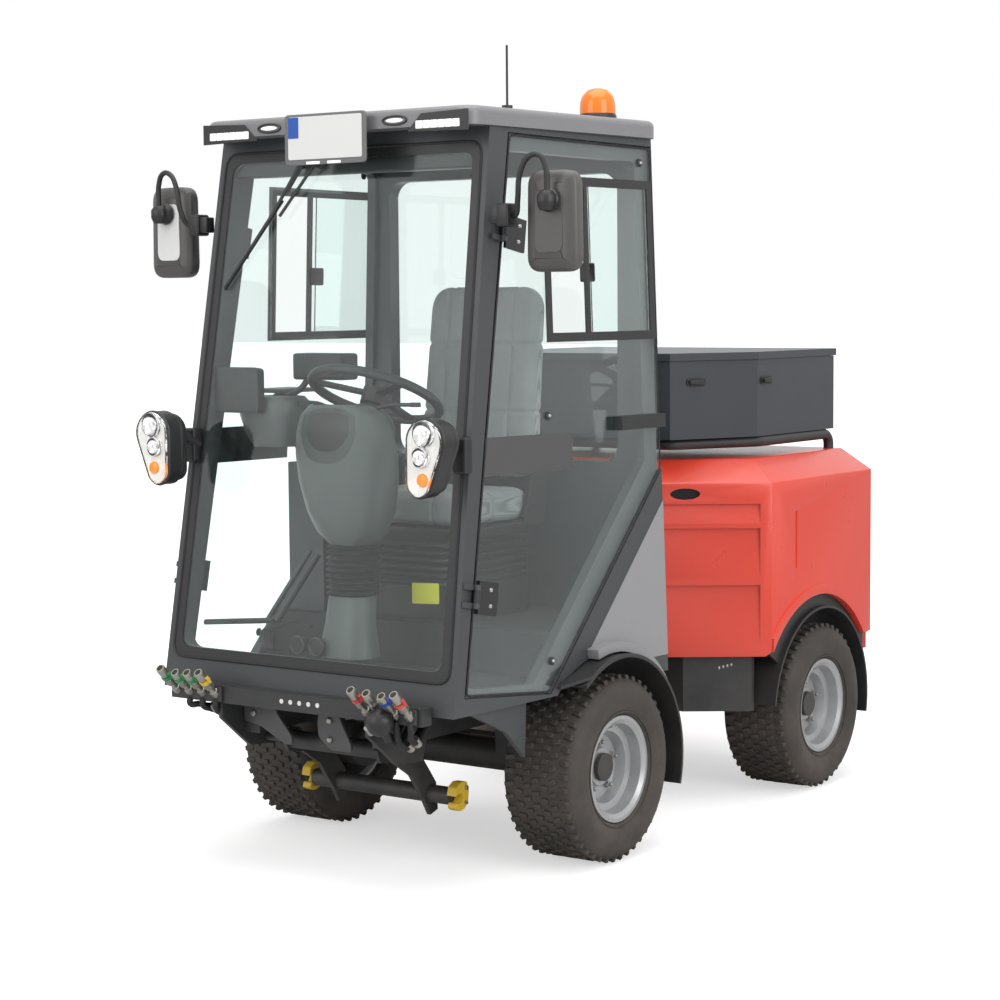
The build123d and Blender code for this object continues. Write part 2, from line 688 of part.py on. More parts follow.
def make_tyre():
    """Left tyre about the origin with its axle along X: flat-sided carcass and two rows of lugs."""
    bead, lip = RIM_HALF_WIDTH - RIM_LIP - SEAT_GAP, RIM_LIP_R + 2
    wall = [(TYRE_HALF_WIDTH, 190), (TYRE_HALF_WIDTH, 208)]
    half = [(bead, BEAD_R), (bead, lip), *wall, (TREAD_HALF_WIDTH, TREAD_R)]
    section = Polygon(*half, *[(-x, r) for x, r in reversed(half)], align=None)
    wedge = extrude(Plane.XZ * section, amount=LUG_LONG, both=True)
    lean = radians(180 / LUG_COUNT)
    for hand in (-1, 1):
        cut = Plane(origin=(0, 0, 0), z_dir=(0, hand * cos(lean), -sin(lean)))
        wedge = split(wedge, bisect_by=cut, keep=Keep.BOTTOM)
    parts = []
    for i in range(LUG_COUNT):
        parts.append(Rot(360 * i / LUG_COUNT, 0, 0) * wedge)
        for hand in (-1, 1):
            outline = Polygon(*[(hand * x, r) for x, r in LUG_OUTLINE], align=None)
            lug = extrude(Plane.XZ * outline, amount=LUG_LONG / 2, both=True)
            parts.append(Rot(360 * (i + hand * LUG_SHIFT) / LUG_COUNT, 0, 0) * lug)
    return parts[0].fuse(*parts[1:])


def wheel_turn(outline, side, axle_y):
    """A solid turned about a wheel's axis from (outboard, radius) points."""
    plane = Plane(origin=(side * HALF_TRACK, axle_y, TYRE_R), x_dir=(side, 0, 0), z_dir=(0, -side, 0))
    return revolve(plane * Polygon(*outline, align=None), axis=Axis(plane.origin, (1, 0, 0)))


def make_rim(side, axle_y):
    """Pressed and welded disc rim with a stepped dish."""
    bore, outside = SPINDLE_R + FIT, BEAD_R - SEAT_GAP
    lip_in = RIM_HALF_WIDTH - RIM_LIP
    outline = [
        (-RIM_HALF_WIDTH, RIM_LIP_R),
        (-lip_in, RIM_LIP_R),
        (-lip_in, outside),
        (lip_in, outside),
        (lip_in, RIM_LIP_R),
        (RIM_HALF_WIDTH, RIM_LIP_R),
        (RIM_HALF_WIDTH, RIM_LIP_R - 10),
        (lip_in - 2, outside - 7),
        (66, 116),
        (62, 98),
        (34, 88),
        (34, 56),
        (HUB_OUT, 50),
        (HUB_OUT, bore),
        (-HUB_IN, bore),
        (-HUB_IN, 56),
        (24, 62),
        (24, 94),
        (53, 104),
        (56, outside - 7),
        (2 - lip_in, outside - 7),
        (-RIM_HALF_WIDTH, RIM_LIP_R - 10),
    ]
    return wheel_turn(outline, side, axle_y)


def make_axle(axle_y, rail_x, rail_low):
    """Axle beam with its mounting blocks, wheel motors, spindles and nuts."""
    axle = x_bar(AXLE_TUBE_R, -MOTOR_X[0], MOTOR_X[0], axle_y, TYRE_R)
    deep = AXLE_TUBE_R + 10
    for side in (-1, 1):
        span = sorted((side * rail_x[0], side * rail_x[1]))
        axle = axle + block(span, (axle_y - deep, axle_y + deep), (TYRE_R, rail_low))
        axle = axle + x_bar(MOTOR_R, side * MOTOR_X[0], side * MOTOR_X[1], axle_y, TYRE_R)
        hub_end = HALF_TRACK + HUB_OUT + 2
        axle = axle + x_bar(SPINDLE_R, side * MOTOR_X[1], side * hub_end, axle_y, TYRE_R)
        axle = axle + x_bar(SPINDLE_R + 8, side * hub_end, side * (hub_end + 12), axle_y, TYRE_R)
    return axle


def fork_plate(heights):
    """A tapered plate from the rails to the pivot eye."""
    start, wide = FRONT_AXLE_Y + RAIL_BACK, RAIL_X[1]
    eye = FORK_EYE_R
    root = [(-wide, start - 60), (wide, start - 60)]
    outline = [*root, (wide, start), (eye, PIVOT_Y), (-eye, PIVOT_Y), (-wide, start)]
    plate = z_prism(outline, *heights)
    return plate + z_bar(eye, heights[0], heights[1], 0, PIVOT_Y)


def make_front_chassis():
    """Two rails, cross members, cab mounts and the fork of the steering pivot."""
    start, end = FRONT_AXLE_Y - RAIL_AHEAD, FRONT_AXLE_Y + RAIL_BACK
    frame = fork_plate(FORK_LOW) + fork_plate(FORK_HIGH)
    for side in (-1, 1):
        span = sorted((side * RAIL_X[0], side * RAIL_X[1]))
        frame = frame + block(span, (start, end), RAIL_Z)
        frame = frame + block(span, (end - 60, end - 10), (FORK_LOW[0], RAIL_Z[1]))
        x = (span[0] + span[1]) / 2
        frame = frame + z_bar(MOUNT_POST_R, RAIL_Z[0], FLOOR_Z, x, FRONT_AXLE_Y - FRONT_POST_AHEAD)
        frame = frame + z_bar(CAB_WALL / 2 - 1, RAIL_Z[0], CAB_LOW, x, CAB_REAR_Y - CAB_WALL / 2)
    cross = (FRONT_AXLE_Y + BARREL_PIVOT[0] + 35, FRONT_AXLE_Y + BARREL_PIVOT[0] + 75)
    frame = frame + block((-RAIL_X[1], RAIL_X[1]), cross, RAIL_Z)
    for side in (-1, 1):
        ear = sorted((side * (BARREL_R + 2), side * (BARREL_R + 12)))
        frame = frame + block(ear, (cross[0] - 60, cross[0]), (RAIL_Z[0] + 8, RAIL_Z[1] - 8))
    y, z = FRONT_AXLE_Y + BARREL_PIVOT[0], BARREL_PIVOT[1]
    frame = frame + x_bar(CYLINDER_PIN_R, -BARREL_R - 2, BARREL_R + 2, y, z)
    return frame + z_bar(PIVOT_PIN_R, FORK_LOW[0], FORK_HIGH[1], 0, PIVOT_Y)


def make_knuckle():
    """Block that turns on the steering pin and carries the lengthwise trunnion."""
    low, high = FORK_LOW[1] + KNUCKLE_GAP, FORK_HIGH[0] - KNUCKLE_GAP
    knuckle = z_bar(KNUCKLE_R, low, high, 0, PIVOT_Y)
    start, end = PIVOT_Y + TRUNNION_BACK[0], PIVOT_Y + TRUNNION_BACK[1]
    knuckle = knuckle + y_bar(TRUNNION_R, start, end, 0, TRUNNION_Z)
    knuckle = knuckle + y_bar(COLLAR_R, end, end + COLLAR_LENGTH, 0, TRUNNION_Z)
    return knuckle - z_bar(PIVOT_PIN_R + FIT, low, high, 0, PIVOT_Y)


def make_linkage_carrier():
    """Cross beam under the nose, its side plates on the rails, and the lift pivot's pin."""
    beam = block(
        (-BEAM_HALF, BEAM_HALF),
        (FRONT_AXLE_Y + CARRIER_OUTLINE[0][0], FRONT_AXLE_Y + CARRIER_OUTLINE[-1][0]),
        (CARRIER_OUTLINE[0][1] - 45, CARRIER_OUTLINE[0][1]),
    )
    outline = [(FRONT_AXLE_Y + along, up) for along, up in CARRIER_OUTLINE]
    plate = x_prism(outline, RAIL_X[1], RAIL_X[1] + CARRIER_THICK)
    pin_x = RAIL_X[1] + CARRIER_THICK
    pin = x_bar(LIFT_PIN_R, -pin_x, pin_x, FRONT_AXLE_Y + LIFT_PIVOT[0], LIFT_PIVOT[1])
    return beam + plate + flip(plate) + pin


def make_lift_frame():
    """Two curved arms on a pivot tube, joined by the lower tube."""
    pivot_y, pivot_z = FRONT_AXLE_Y + LIFT_PIVOT[0], LIFT_PIVOT[1]
    frame = x_bar(2 * LIFT_PIN_R, -LIFT_ARM_X[1], LIFT_ARM_X[1], pivot_y, pivot_z)
    arm = x_prism([(FRONT_AXLE_Y + along, up) for along, up in ARM_OUTLINE], *LIFT_ARM_X)
    frame = frame + arm + flip(arm)
    tube_y, tube_z = FRONT_AXLE_Y + LIFT_TUBE[0], LIFT_TUBE[1]
    frame = frame + x_bar(LIFT_TUBE_R, -LIFT_TUBE_HALF, LIFT_TUBE_HALF, tube_y, tube_z)
    ear_y, ear_z = FRONT_AXLE_Y + LIFT_EAR[0], LIFT_EAR[1]
    pin_half = ROD_R + 16
    for side in (-1, 1):
        span = sorted((side * (ROD_R + 6), side * pin_half))
        low = [(pivot_y - 22, pivot_z), (pivot_y + 22, pivot_z)]
        outline = [*low, (ear_y + 16, ear_z + 14), (ear_y - 16, ear_z + 14)]
        frame = frame + x_prism(outline, *span)
    frame = frame + x_bar(CYLINDER_PIN_R - 1, -pin_half, pin_half, ear_y, ear_z)
    return frame - x_bar(LIFT_PIN_R + FIT, -LIFT_ARM_X[1], LIFT_ARM_X[1], pivot_y, pivot_z)


def make_quick_hooks():
    outline = [(FRONT_AXLE_Y + along, up) for along, up in HOOK_OUTLINE]
    return pair(x_prism(outline, LIFT_TUBE_HALF, LIFT_TUBE_HALF + HOOK_THICK))


def cylinder_plane():
    """The lift cylinder's own plane: Z along the rod, from the barrel's pivot."""
    start = Vector(0, FRONT_AXLE_Y + BARREL_PIVOT[0], BARREL_PIVOT[1])
    end = Vector(0, FRONT_AXLE_Y + LIFT_EAR[0], LIFT_EAR[1])
    return Plane(origin=start, z_dir=end - start, x_dir=(1, 0, 0)), (end - start).length


def make_lift_barrel():
    plane, _ = cylinder_plane()
    barrel = extrude(plane * Circle(BARREL_R), amount=BARREL_LENGTH)
    eye = plane * (Rot(0, 90, 0) * Cylinder(BARREL_R - 3, 2 * BARREL_R))
    bore_start = BARREL_R + 10
    hollow = extrude(plane.offset(bore_start) * Circle(ROD_R + FIT), amount=BARREL_LENGTH - bore_start)
    pin = plane * (Rot(0, 90, 0) * Cylinder(CYLINDER_PIN_R + FIT, 4 * BARREL_R))
    return barrel + eye - hollow - pin


def make_lift_rod():
    plane, length = cylinder_plane()
    eye_r = CYLINDER_PIN_R + ROD_EYE_PLAY
    rod = extrude(plane.offset(ROD_START) * Circle(ROD_R), amount=length - ROD_START)
    eye = plane.offset(length) * (Rot(0, 90, 0) * Cylinder(eye_r + 8, 2 * ROD_R))
    hole = plane.offset(length) * (Rot(0, 90, 0) * Cylinder(eye_r, 4 * ROD_R))
    return rod + eye - hole


def make_coupler_banks():
    """Hydraulic quick couplers on a plate at each end of the beam."""
    front = FRONT_AXLE_Y + CARRIER_OUTLINE[0][0]
    across = (COUPLER_PLATE_INNER, BEAM_HALF - COUPLER_PLATE_THICK)
    plate = block(across, (front - COUPLER_PLATE_THICK, front), COUPLER_PLATE_Z)
    for x in COUPLER_X:
        foot = (x, FRONT_AXLE_Y + COUPLER_FOOT[0] - COUPLER_FOOT_AHEAD, COUPLER_FOOT[1])
        head = (x, FRONT_AXLE_Y + COUPLER_HEAD[0] + COUPLER_HEAD_BACK, COUPLER_HEAD[1])
        plate = plate + (bar(foot, head, COUPLER_R) - block((200, 450), (front, front + 50), (400, 600)))
    return pair(plate)


def hood_section(inset, z, deck):
    """Plan outline of the rear body at a height, inset from its outside."""
    nose = PIVOT_Y + HOOD_NOSE_BACK + inset + deck
    corner = PIVOT_Y + HOOD_CORNER_BACK + 1.2 * (inset + deck) * 0.5
    tail = PIVOT_Y + HOOD_TAIL_BACK - inset - deck / 3
    half = HOOD_HALF - inset - deck
    nose_half = HOOD_NOSE_HALF - inset / 3
    front = [(-half, corner), (-nose_half, nose), (nose_half, nose), (half, corner)]
    outline = [*front[1:], (half, tail), (-half, tail), front[0]]
    return Plane.XY.offset(z) * Polygon(*outline, align=None)


def hood_block(inset):
    """The rear body's form: upright walls and a sloping top round the deck."""
    low = HOOD_LOW
    wall = loft([hood_section(inset, low, 0), hood_section(inset, HOOD_SHOULDER, 0)], ruled=True)
    top = HOOD_TOP - inset
    cap = loft([hood_section(inset, HOOD_SHOULDER, 0), hood_section(inset, top, DECK_INSET)], ruled=True)
    return wall + cap


def rear_arch():
    arch_y = REAR_AXLE_Y - ARCH_AHEAD
    left = x_bar(ARCH_R, WING_INNER_X - ARCH_GAP, 2 * HOOD_HALF, arch_y, ARCH_Z)
    return left + flip(left)


def angled_face():
    """Plane of the body's left angled face: X back along it, Y up, Z out."""
    nose = Vector(HOOD_NOSE_HALF, PIVOT_Y + HOOD_NOSE_BACK)
    run = Vector(HOOD_HALF, PIVOT_Y + HOOD_CORNER_BACK) - nose
    return Plane(origin=nose, x_dir=run, z_dir=(run.Y, -run.X, 0))


def face_steps():
    """Wedges cut from the left angled face, which leave its three stepped panels."""
    face = angled_face()
    wedges = Part()
    start = Plane(origin=face.from_local_coords((HOOD_STEP_RUN[0], 0, 0)), x_dir=face.z_dir, z_dir=face.x_dir)
    for high, low in HOOD_STEPS:
        wedge = start * Polygon((-HOOD_STEP_DEEP, -high), (CUT_OVER, -high), (CUT_OVER, -low), align=None)
        wedges = wedges + extrude(wedge, amount=HOOD_STEP_RUN[1] - HOOD_STEP_RUN[0], dir=face.x_dir)
    return wedges


def make_rear_hood():
    """Hollow red body over the engine, with wheel arches and the tail opening."""
    hood = hood_block(0) - hood_block(HOOD_WALL) - rear_arch()
    along, height, half_long, half_high = HOOD_VENT
    oval = angled_face() * Pos(along, height) * Ellipse(half_long, half_high)
    vent = extrude(oval, amount=2 * HOOD_WALL, both=True)
    (slot_y, slot_z, slot_deep) = HOOD_SLOT
    slot = block((HOOD_HALF - slot_deep, HOOD_HALF + CUT_OVER), slot_y, slot_z)
    wide, high = ARCH_BEAD
    bead = ring_sector(
        ARCH_R, wide, *ARCH_BEAD_ANGLES, HOOD_HALF - HOOD_WALL, HOOD_HALF + high,
        REAR_AXLE_Y - ARCH_AHEAD, ARCH_Z
    )
    side_run = (PIVOT_Y + HOOD_CORNER_BACK, PIVOT_Y + HOOD_TAIL_BACK)
    bead = bead & block((0, 2 * HOOD_HALF), side_run, (HOOD_LOW, HOOD_SHOULDER))
    for cut in (face_steps(), vent, slot):
        hood = hood - cut - flip(cut)
    hood = hood + bead + flip(bead)
    tail = PIVOT_Y + HOOD_TAIL_BACK
    half = TAIL_DOOR_HALF + TAIL_DOOR_GAP
    low, high = TAIL_DOOR_Z[0] - TAIL_DOOR_GAP, TAIL_DOOR_Z[1] + TAIL_DOOR_GAP
    hood = hood - block((-half, half), (tail - 2 * HOOD_WALL, tail + 1), (low, high))
    for z in TAIL_HINGE_Z:
        for low, high in ((z + HINGE_HALF + 1, z + 2 * HINGE_HALF), (z - 2 * HINGE_HALF, z - HINGE_HALF - 1)):
            hood = hood + tail_knuckle(low, high, (0, HINGE_LEAF))
        hood = hood + z_bar(HINGE_PIN_R, z - 2 * HINGE_HALF, z + 2 * HINGE_HALF, TAIL_HINGE_X, TAIL_HINGE_Y)
    return hood


def tail_knuckle(low, high, leaf):
    """A knuckle of the tail door's hinge, with its leaf flat on the tail face."""
    knuckle = z_bar(HINGE_R, low, high, TAIL_HINGE_X, TAIL_HINGE_Y)
    face = PIVOT_Y + HOOD_TAIL_BACK
    span = sorted((TAIL_HINGE_X + leaf[0], TAIL_HINGE_X + leaf[1]))
    return knuckle + block(span, (face, face + HINGE_LEAF_THICK), (low, high))


def make_tail_door():
    """Engine access door in the tail, with louvre slots and a latch handle."""
    face = PIVOT_Y + HOOD_TAIL_BACK
    door = block((-TAIL_DOOR_HALF, TAIL_DOOR_HALF), (face - TAIL_DOOR_THICK, face), TAIL_DOOR_Z)
    middle = (TAIL_DOOR_Z[0] + TAIL_DOOR_Z[1]) / 2
    for i in range(SLOT_COUNT):
        z = middle + (i - (SLOT_COUNT - 1) / 2) * SLOT_PITCH
        through = (face - 2 * TAIL_DOOR_THICK, face + 1)
        door = door - block((-SLOT_HALF, SLOT_HALF), through, (z, z + SLOT_HIGH))
    for z in TAIL_HINGE_Z:
        door = door + tail_knuckle(z - HINGE_HALF, z + HINGE_HALF, (-HINGE_LEAF, 0))
        low, high = z - 2 * HINGE_HALF, z + 2 * HINGE_HALF
        door = door - z_bar(HINGE_PIN_R + FIT, low, high, TAIL_HINGE_X, TAIL_HINGE_Y)
    across = (-TAIL_DOOR_HALF + 20, -TAIL_DOOR_HALF + 50)
    handle = block(across, (face, face + 16), (middle - 50, middle + 50))
    return door + handle


def make_rear_liners():
    """Black wheel liners: a wing over each tyre and the panel between it and the body's arch."""
    wing = ring_sector(WING_R, WING_THICK, -12, 172, WING_INNER_X, HOOD_HALF - 4, REAR_AXLE_Y, TYRE_R)
    panel = ring_sector(WING_R, LINER_FACE_R - WING_R, 28, 148, *LINER_FACE_X, REAR_AXLE_Y, TYRE_R)
    section = hood_section(HOOD_WALL + SEAT_GAP, TYRE_R, 0)
    inside = extrude(section, amount=HOOD_SHOULDER - TYRE_R, dir=(0, 0, 1))
    return pair(wing + (panel & inside))


def make_side_tanks():
    outline = [(x, REAR_AXLE_Y + back) for x, back in TANK_OUTLINE]
    return pair(z_prism(outline, TANK_LOW, HOOD_LOW - SEAT_GAP))


def make_rear_chassis():
    """Two rails, the trunnion housing, cross members, tail bar and tow eye."""
    start, end = PIVOT_Y + HOUSING_BACK[0] + 40, PIVOT_Y + HOOD_TAIL_BACK - SEAT_GAP
    frame = y_bar(HOUSING_R, PIVOT_Y + HOUSING_BACK[0], PIVOT_Y + HOUSING_BACK[1], 0, TRUNNION_Z)
    frame = frame + block((-REAR_RAIL_X[1], REAR_RAIL_X[1]), (start, start + 30), REAR_RAIL_Z)
    for side in (-1, 1):
        span = sorted((side * REAR_RAIL_X[0], side * REAR_RAIL_X[1]))
        frame = frame + block(span, (start, end), REAR_RAIL_Z)
        frame = frame + block(span, (end - TAIL_BAR_DEEP, end), (REAR_RAIL_Z[1], TAIL_BAR_Z[0]))
    frame = frame + block((-REAR_RAIL_X[1], REAR_RAIL_X[1]), (end - TAIL_BAR_DEEP, end), REAR_RAIL_Z)
    frame = frame + block((-TAIL_BAR_HALF, TAIL_BAR_HALF), (end - TAIL_BAR_DEEP, end), TAIL_BAR_Z)
    eye_y, eye_z = REAR_AXLE_Y + TOW_EYE_BACK, (REAR_RAIL_Z[0] - TOW_EYE_THICK, REAR_RAIL_Z[0])
    frame = frame + block((-TOW_EYE_R, TOW_EYE_R), (end - 2 * TAIL_BAR_DEEP, eye_y), eye_z)
    frame = frame + z_bar(TOW_EYE_R, *eye_z, 0, eye_y)
    frame = frame - z_bar(TOW_BORE_R, *eye_z, 0, eye_y)
    frame = frame - z_bar(TOW_BORE_R + TOW_PIN_RELIEF, *REAR_RAIL_Z, 0, eye_y)
    trunnion_hole = y_bar(
        TRUNNION_R + FIT, PIVOT_Y + HOUSING_BACK[0], PIVOT_Y + HOUSING_BACK[1], 0, TRUNNION_Z
    )
    return frame - trunnion_hole


def make_engine_block():
    return block(
        (-ENGINE_HALF, ENGINE_HALF),
        (REAR_AXLE_Y + ENGINE_BACK[0], REAR_AXLE_Y + ENGINE_BACK[1]),
        (REAR_RAIL_Z[1], ENGINE_TOP),
    )


def make_tail_lamps():
    """Lamp blocks under the tail's two corners."""
    face = PIVOT_Y + HOOD_TAIL_BACK
    return pair(block(TAIL_LAMP_X, (face - HOOD_WALL, face + 12), (TAIL_LAMP_LOW, HOOD_LOW - SEAT_GAP)))


def box_outline(grow):
    """Plan outline of the storage box, grown or shrunk."""
    nose = PIVOT_Y + BOX_NOSE_BACK - grow
    corner = PIVOT_Y + BOX_CORNER_BACK - 0.25 * grow
    tail = PIVOT_Y + BOX_TAIL_BACK + grow
    half, nose_half = BOX_HALF + grow, BOX_NOSE_HALF + 0.6 * grow
    front = [(-half, corner), (-nose_half, nose), (nose_half, nose), (half, corner)]
    return [*front[1:], (half, tail), (-half, tail), front[0]]


def make_box_rail():
    """Bent tube under the box that follows its plan and comes down to the deck at each end."""
    z, deck = BOX_LOW - RAIL_TUBE_R - SEAT_GAP, HOOD_TOP
    nose_y = PIVOT_Y + BOX_NOSE_BACK + 40
    corner_y = PIVOT_Y + BOX_CORNER_BACK + 20
    tail_y = PIVOT_Y + HOOD_TAIL_BACK - 50
    x_wide, x_nose = BOX_HALF - 10, BOX_NOSE_HALF - 20
    path = FilletPolyline(
        (0, nose_y, z),
        (x_nose, nose_y, z),
        (x_wide, corner_y, z),
        (x_wide, tail_y, z),
        (x_wide, tail_y, deck),
        radius=[40, 60, 34],
    )
    rail = sweep(Plane(path @ 0, z_dir=path % 0) * Circle(RAIL_TUBE_R), path=path)
    rail = rail + flip(rail)
    for x in (-200, 200):
        rail = rail + z_bar(RAIL_TUBE_R - 4, deck, z, x, nose_y)
    return rail


def make_storage_box():
    """Open-topped box with hinge ears at its tail."""
    box = z_prism(box_outline(0), BOX_LOW, BOX_HIGH)
    box = box - z_prism(box_outline(-BOX_WALL), BOX_LOW + BOX_WALL, BOX_HIGH)
    tail = PIVOT_Y + BOX_TAIL_BACK
    for x in LID_HINGE_X:
        for low, high in ((HINGE_HALF + 1, 2 * HINGE_HALF), (-2 * HINGE_HALF, -HINGE_HALF - 1)):
            span = (x + low, x + high)
            box = box + block(span, (tail, LID_HINGE_Y + HINGE_R), (BOX_HIGH - 30, BOX_HIGH - 4))
            along = (LID_HINGE_Y - HINGE_R, LID_HINGE_Y + HINGE_R)
            box = box + block(span, along, (BOX_HIGH - 30, LID_HINGE_Z))
            box = box + x_bar(HINGE_R, *span, LID_HINGE_Y, LID_HINGE_Z)
        box = box + x_bar(HINGE_PIN_R, x - 2 * HINGE_HALF, x + 2 * HINGE_HALF, LID_HINGE_Y, LID_HINGE_Z)
    return box


def make_box_lid():
    """Flat lid of the storage box with its hinge knuckles."""
    lid = z_prism(box_outline(LID_OVERHANG), BOX_HIGH + LID_GAP, BOX_HIGH + LID_GAP + LID_THICK)
    tail = PIVOT_Y + BOX_TAIL_BACK
    for x in LID_HINGE_X:
        span = (x - HINGE_HALF, x + HINGE_HALF)
        lid = lid + block(span, (tail, LID_HINGE_Y), (LID_HINGE_Z - 7, LID_HINGE_Z + 7))
        lid = lid + x_bar(HINGE_R, *span, LID_HINGE_Y, LID_HINGE_Z)
        lid = lid - x_bar(HINGE_PIN_R + FIT, x - 2 * HINGE_HALF, x + 2 * HINGE_HALF, LID_HINGE_Y, LID_HINGE_Z)
    return lid


def make_seat():
    """Seat's suspension base, cushion and back, each a plain solid of its real size."""
    base = block((-170, 170), (FRONT_AXLE_Y - 150, FRONT_AXLE_Y + 130), (PLATFORM_Z + SEAT_GAP, SEAT_PAN_Z))
    pan_half = SEAT_HALF + SEAT_GAP + SEAT_PLATE
    pan_y = (FRONT_AXLE_Y + SEAT_RUN[0], FRONT_AXLE_Y + SEAT_RUN[1])
    base = base + block((-pan_half, pan_half), pan_y, (SEAT_PAN_Z - SEAT_PLATE, SEAT_PAN_Z))
    bracket = x_prism(
        [(FRONT_AXLE_Y + along, up) for along, up in SEAT_BRACKET], SEAT_HALF + SEAT_GAP, pan_half
    )
    base = base + bracket + flip(bracket)
    cushion = block((-SEAT_HALF, SEAT_HALF), pan_y, (SEAT_PAN_Z + SEAT_GAP, SEAT_TOP_Z))
    back_foot = SEAT_TOP_Z + SEAT_GAP
    back_outline = [(90, back_foot), (170, back_foot), (232, 1560), (165, 1575), (120, 1560)]
    back = x_prism([(FRONT_AXLE_Y + along, up) for along, up in back_outline], -SEAT_HALF, SEAT_HALF)
    return base, cushion, back


def steer_plane():
    tilt = radians(WHEEL_TILT)
    origin = (0, FRONT_AXLE_Y + WHEEL_CENTRE[0], WHEEL_CENTRE[1])
    return Plane(origin=origin, x_dir=(1, 0, 0), z_dir=(0, sin(tilt), cos(tilt)))


def make_steering_wheel():
    plane = steer_plane()
    wheel = plane * Torus(STEER_R, STEER_TUBE_R)
    hub = extrude(plane.offset(-30) * Circle(36), amount=44)
    wheel = wheel + hub
    for angle in (90, 210, 330):
        spoke = plane * (Rot(0, 0, angle) * (Pos(STEER_R / 2, 0, 0) * Box(STEER_R, 26, 10)))
        wheel = wheel + spoke
    return wheel - extrude(plane.offset(-31) * Circle(STEER_SHAFT_R + FIT), amount=30)


def make_steering_column():
    plane = steer_plane()
    shaft = extrude(plane.offset(-160) * Circle(STEER_SHAFT_R), amount=158)
    pod = plane.offset(-110) * Sphere(80)
    floor = FLOOR_Z + FLOOR_THICK + SEAT_GAP
    column = bar((0, COLUMN_FOOT_Y, FLOOR_Z), tuple(plane.offset(-110).origin), 42)
    column = column - block((-100, 100), (COLUMN_FOOT_Y - 100, COLUMN_FOOT_Y + 100), (0, floor))
    return shaft + pod + column


def from_axle(place):
    """A point given across, behind the front axle and up, in the model's own frame."""
    x, behind, z = place
    return (x, FRONT_AXLE_Y + behind, z)


def make_side_console():
    """Control console at the driver's right, with its pod on a stalk."""
    run = (FRONT_AXLE_Y + CONSOLE_RUN[0], FRONT_AXLE_Y + CONSOLE_RUN[1])
    body = block(CONSOLE_X, run, (PLATFORM_Z + SEAT_GAP, CONSOLE_TOP))
    stalk = bar(from_axle(POD_STALK[0]), from_axle(POD_STALK[1]), POD_STALK_R)
    pod = Pos(*from_axle(POD_CENTRE)) * Sphere(POD_R)
    return body + stalk + pod


def make_plate_holder():
    """Blank number plate panel on a bracket at the roof's front edge."""
    front = FRONT_AXLE_Y - PLATE_AHEAD
    back = front + PLATE_THICK
    panel = block((-PLATE_HALF, PLATE_HALF), (front, back), PLATE_Z)
    roof_front = FRONT_AXLE_Y - ROOF_FRONT[1]
    across, above = PLATE_ARM
    height = (CAB_TOP + above[0], CAB_TOP + above[1])
    return panel + block(across, (back, roof_front - SEAT_GAP), height)


def make_beacon():
    y, base = FRONT_AXLE_Y + BEACON_AT[1], CAB_TOP + ROOF_THICK
    body = z_bar(BEACON_R, base, base + BEACON_HIGH, BEACON_AT[0], y)
    body = fillet(body.faces().sort_by(Axis.Z)[-1].edges(), 26)
    return body


def make_antenna():
    y, base = FRONT_AXLE_Y + ANTENNA_AT[1], CAB_TOP + ROOF_THICK
    foot = z_bar(14, base, base + 12, ANTENNA_AT[0], y)
    return foot + z_bar(3, base, base + ANTENNA_HIGH, ANTENNA_AT[0], y)


def make_mirrors():
    """Mirror heads on bent tube arms from the front posts."""
    across, along, height = MIRROR_AT
    y = FRONT_AXLE_Y + along
    head = Pos(across, y, height) * Box(*MIRROR_SIZE)
    head = fillet(head.edges(), 14)
    foot_y = FRONT_AXLE_Y - 437
    foot_x = side_x(foot_y, MIRROR_FOOT_Z) - CAB_WALL / 2
    top = height + MIRROR_SIZE[2] / 2
    path = FilletPolyline(
        (foot_x, foot_y, MIRROR_FOOT_Z),
        (foot_x + 80, foot_y, MIRROR_FOOT_Z),
        (across - 30, y, top + 45),
        (across, y, top - 20),
        radius=[30, 25],
    )
    arm = sweep(Plane(path @ 0, z_dir=path % 0) * Circle(MIRROR_TUBE_R), path=path)
    arm = arm - cab_block(-SEAT_GAP, CAB_LOW, CAB_TOP)
    return pair(head + arm)


write("cab_frame", make_cab_frame())
write("cab_glass", *make_cab_glass())
write("quarter_panels", *make_quarter_panels())
write("cab_tub", make_cab_tub())
write("roof_shell", make_roof())
write("work_lamps", *make_work_lamps())
left_door = make_door()
left_glass = make_door_glass()
write("door_left", *left_door)
write("door_left_glass", *left_glass)
write("door_right", *[flip(fitting) for fitting in left_door])
write("door_right_glass", *[flip(pane) for pane in left_glass])
write("front_fenders", *make_front_fenders())
tyre = make_tyre()
for end, axle_y in (("front", FRONT_AXLE_Y), ("rear", REAR_AXLE_Y)):
    left_tyre = Pos(HALF_TRACK, axle_y, TYRE_R) * tyre
    for name, side in (("left", 1), ("right", -1)):
        write(f"tyre_{end}_{name}", left_tyre if side > 0 else flip(left_tyre))
        write(f"rim_{end}_{name}", make_rim(side, axle_y))
write("front_axle", make_axle(FRONT_AXLE_Y, RAIL_X, RAIL_Z[0]))
write("rear_axle", make_axle(REAR_AXLE_Y, REAR_RAIL_X, REAR_RAIL_Z[0]))
write("front_chassis", make_front_chassis())
write("pivot_knuckle", make_knuckle())
write("linkage_carrier", make_linkage_carrier())
write("lift_frame", make_lift_frame())
write("quick_hooks", *make_quick_hooks())
write("lift_barrel", make_lift_barrel())
write("lift_rod", make_lift_rod())
write("coupler_banks", *make_coupler_banks())
write("rear_hood", make_rear_hood())
write("tail_door", make_tail_door())
write("rear_liners", *make_rear_liners())
write("side_tanks", *make_side_tanks())
write("rear_chassis", make_rear_chassis())
write("engine_block", make_engine_block())
write("tail_lamps", *make_tail_lamps())
write("box_rail", make_box_rail())
write("storage_box", make_storage_box())
write("box_lid", make_box_lid())
seat_base, seat_cushion, seat_back = make_seat()
write("seat_base", seat_base)
write("seat_cushion", seat_cushion)
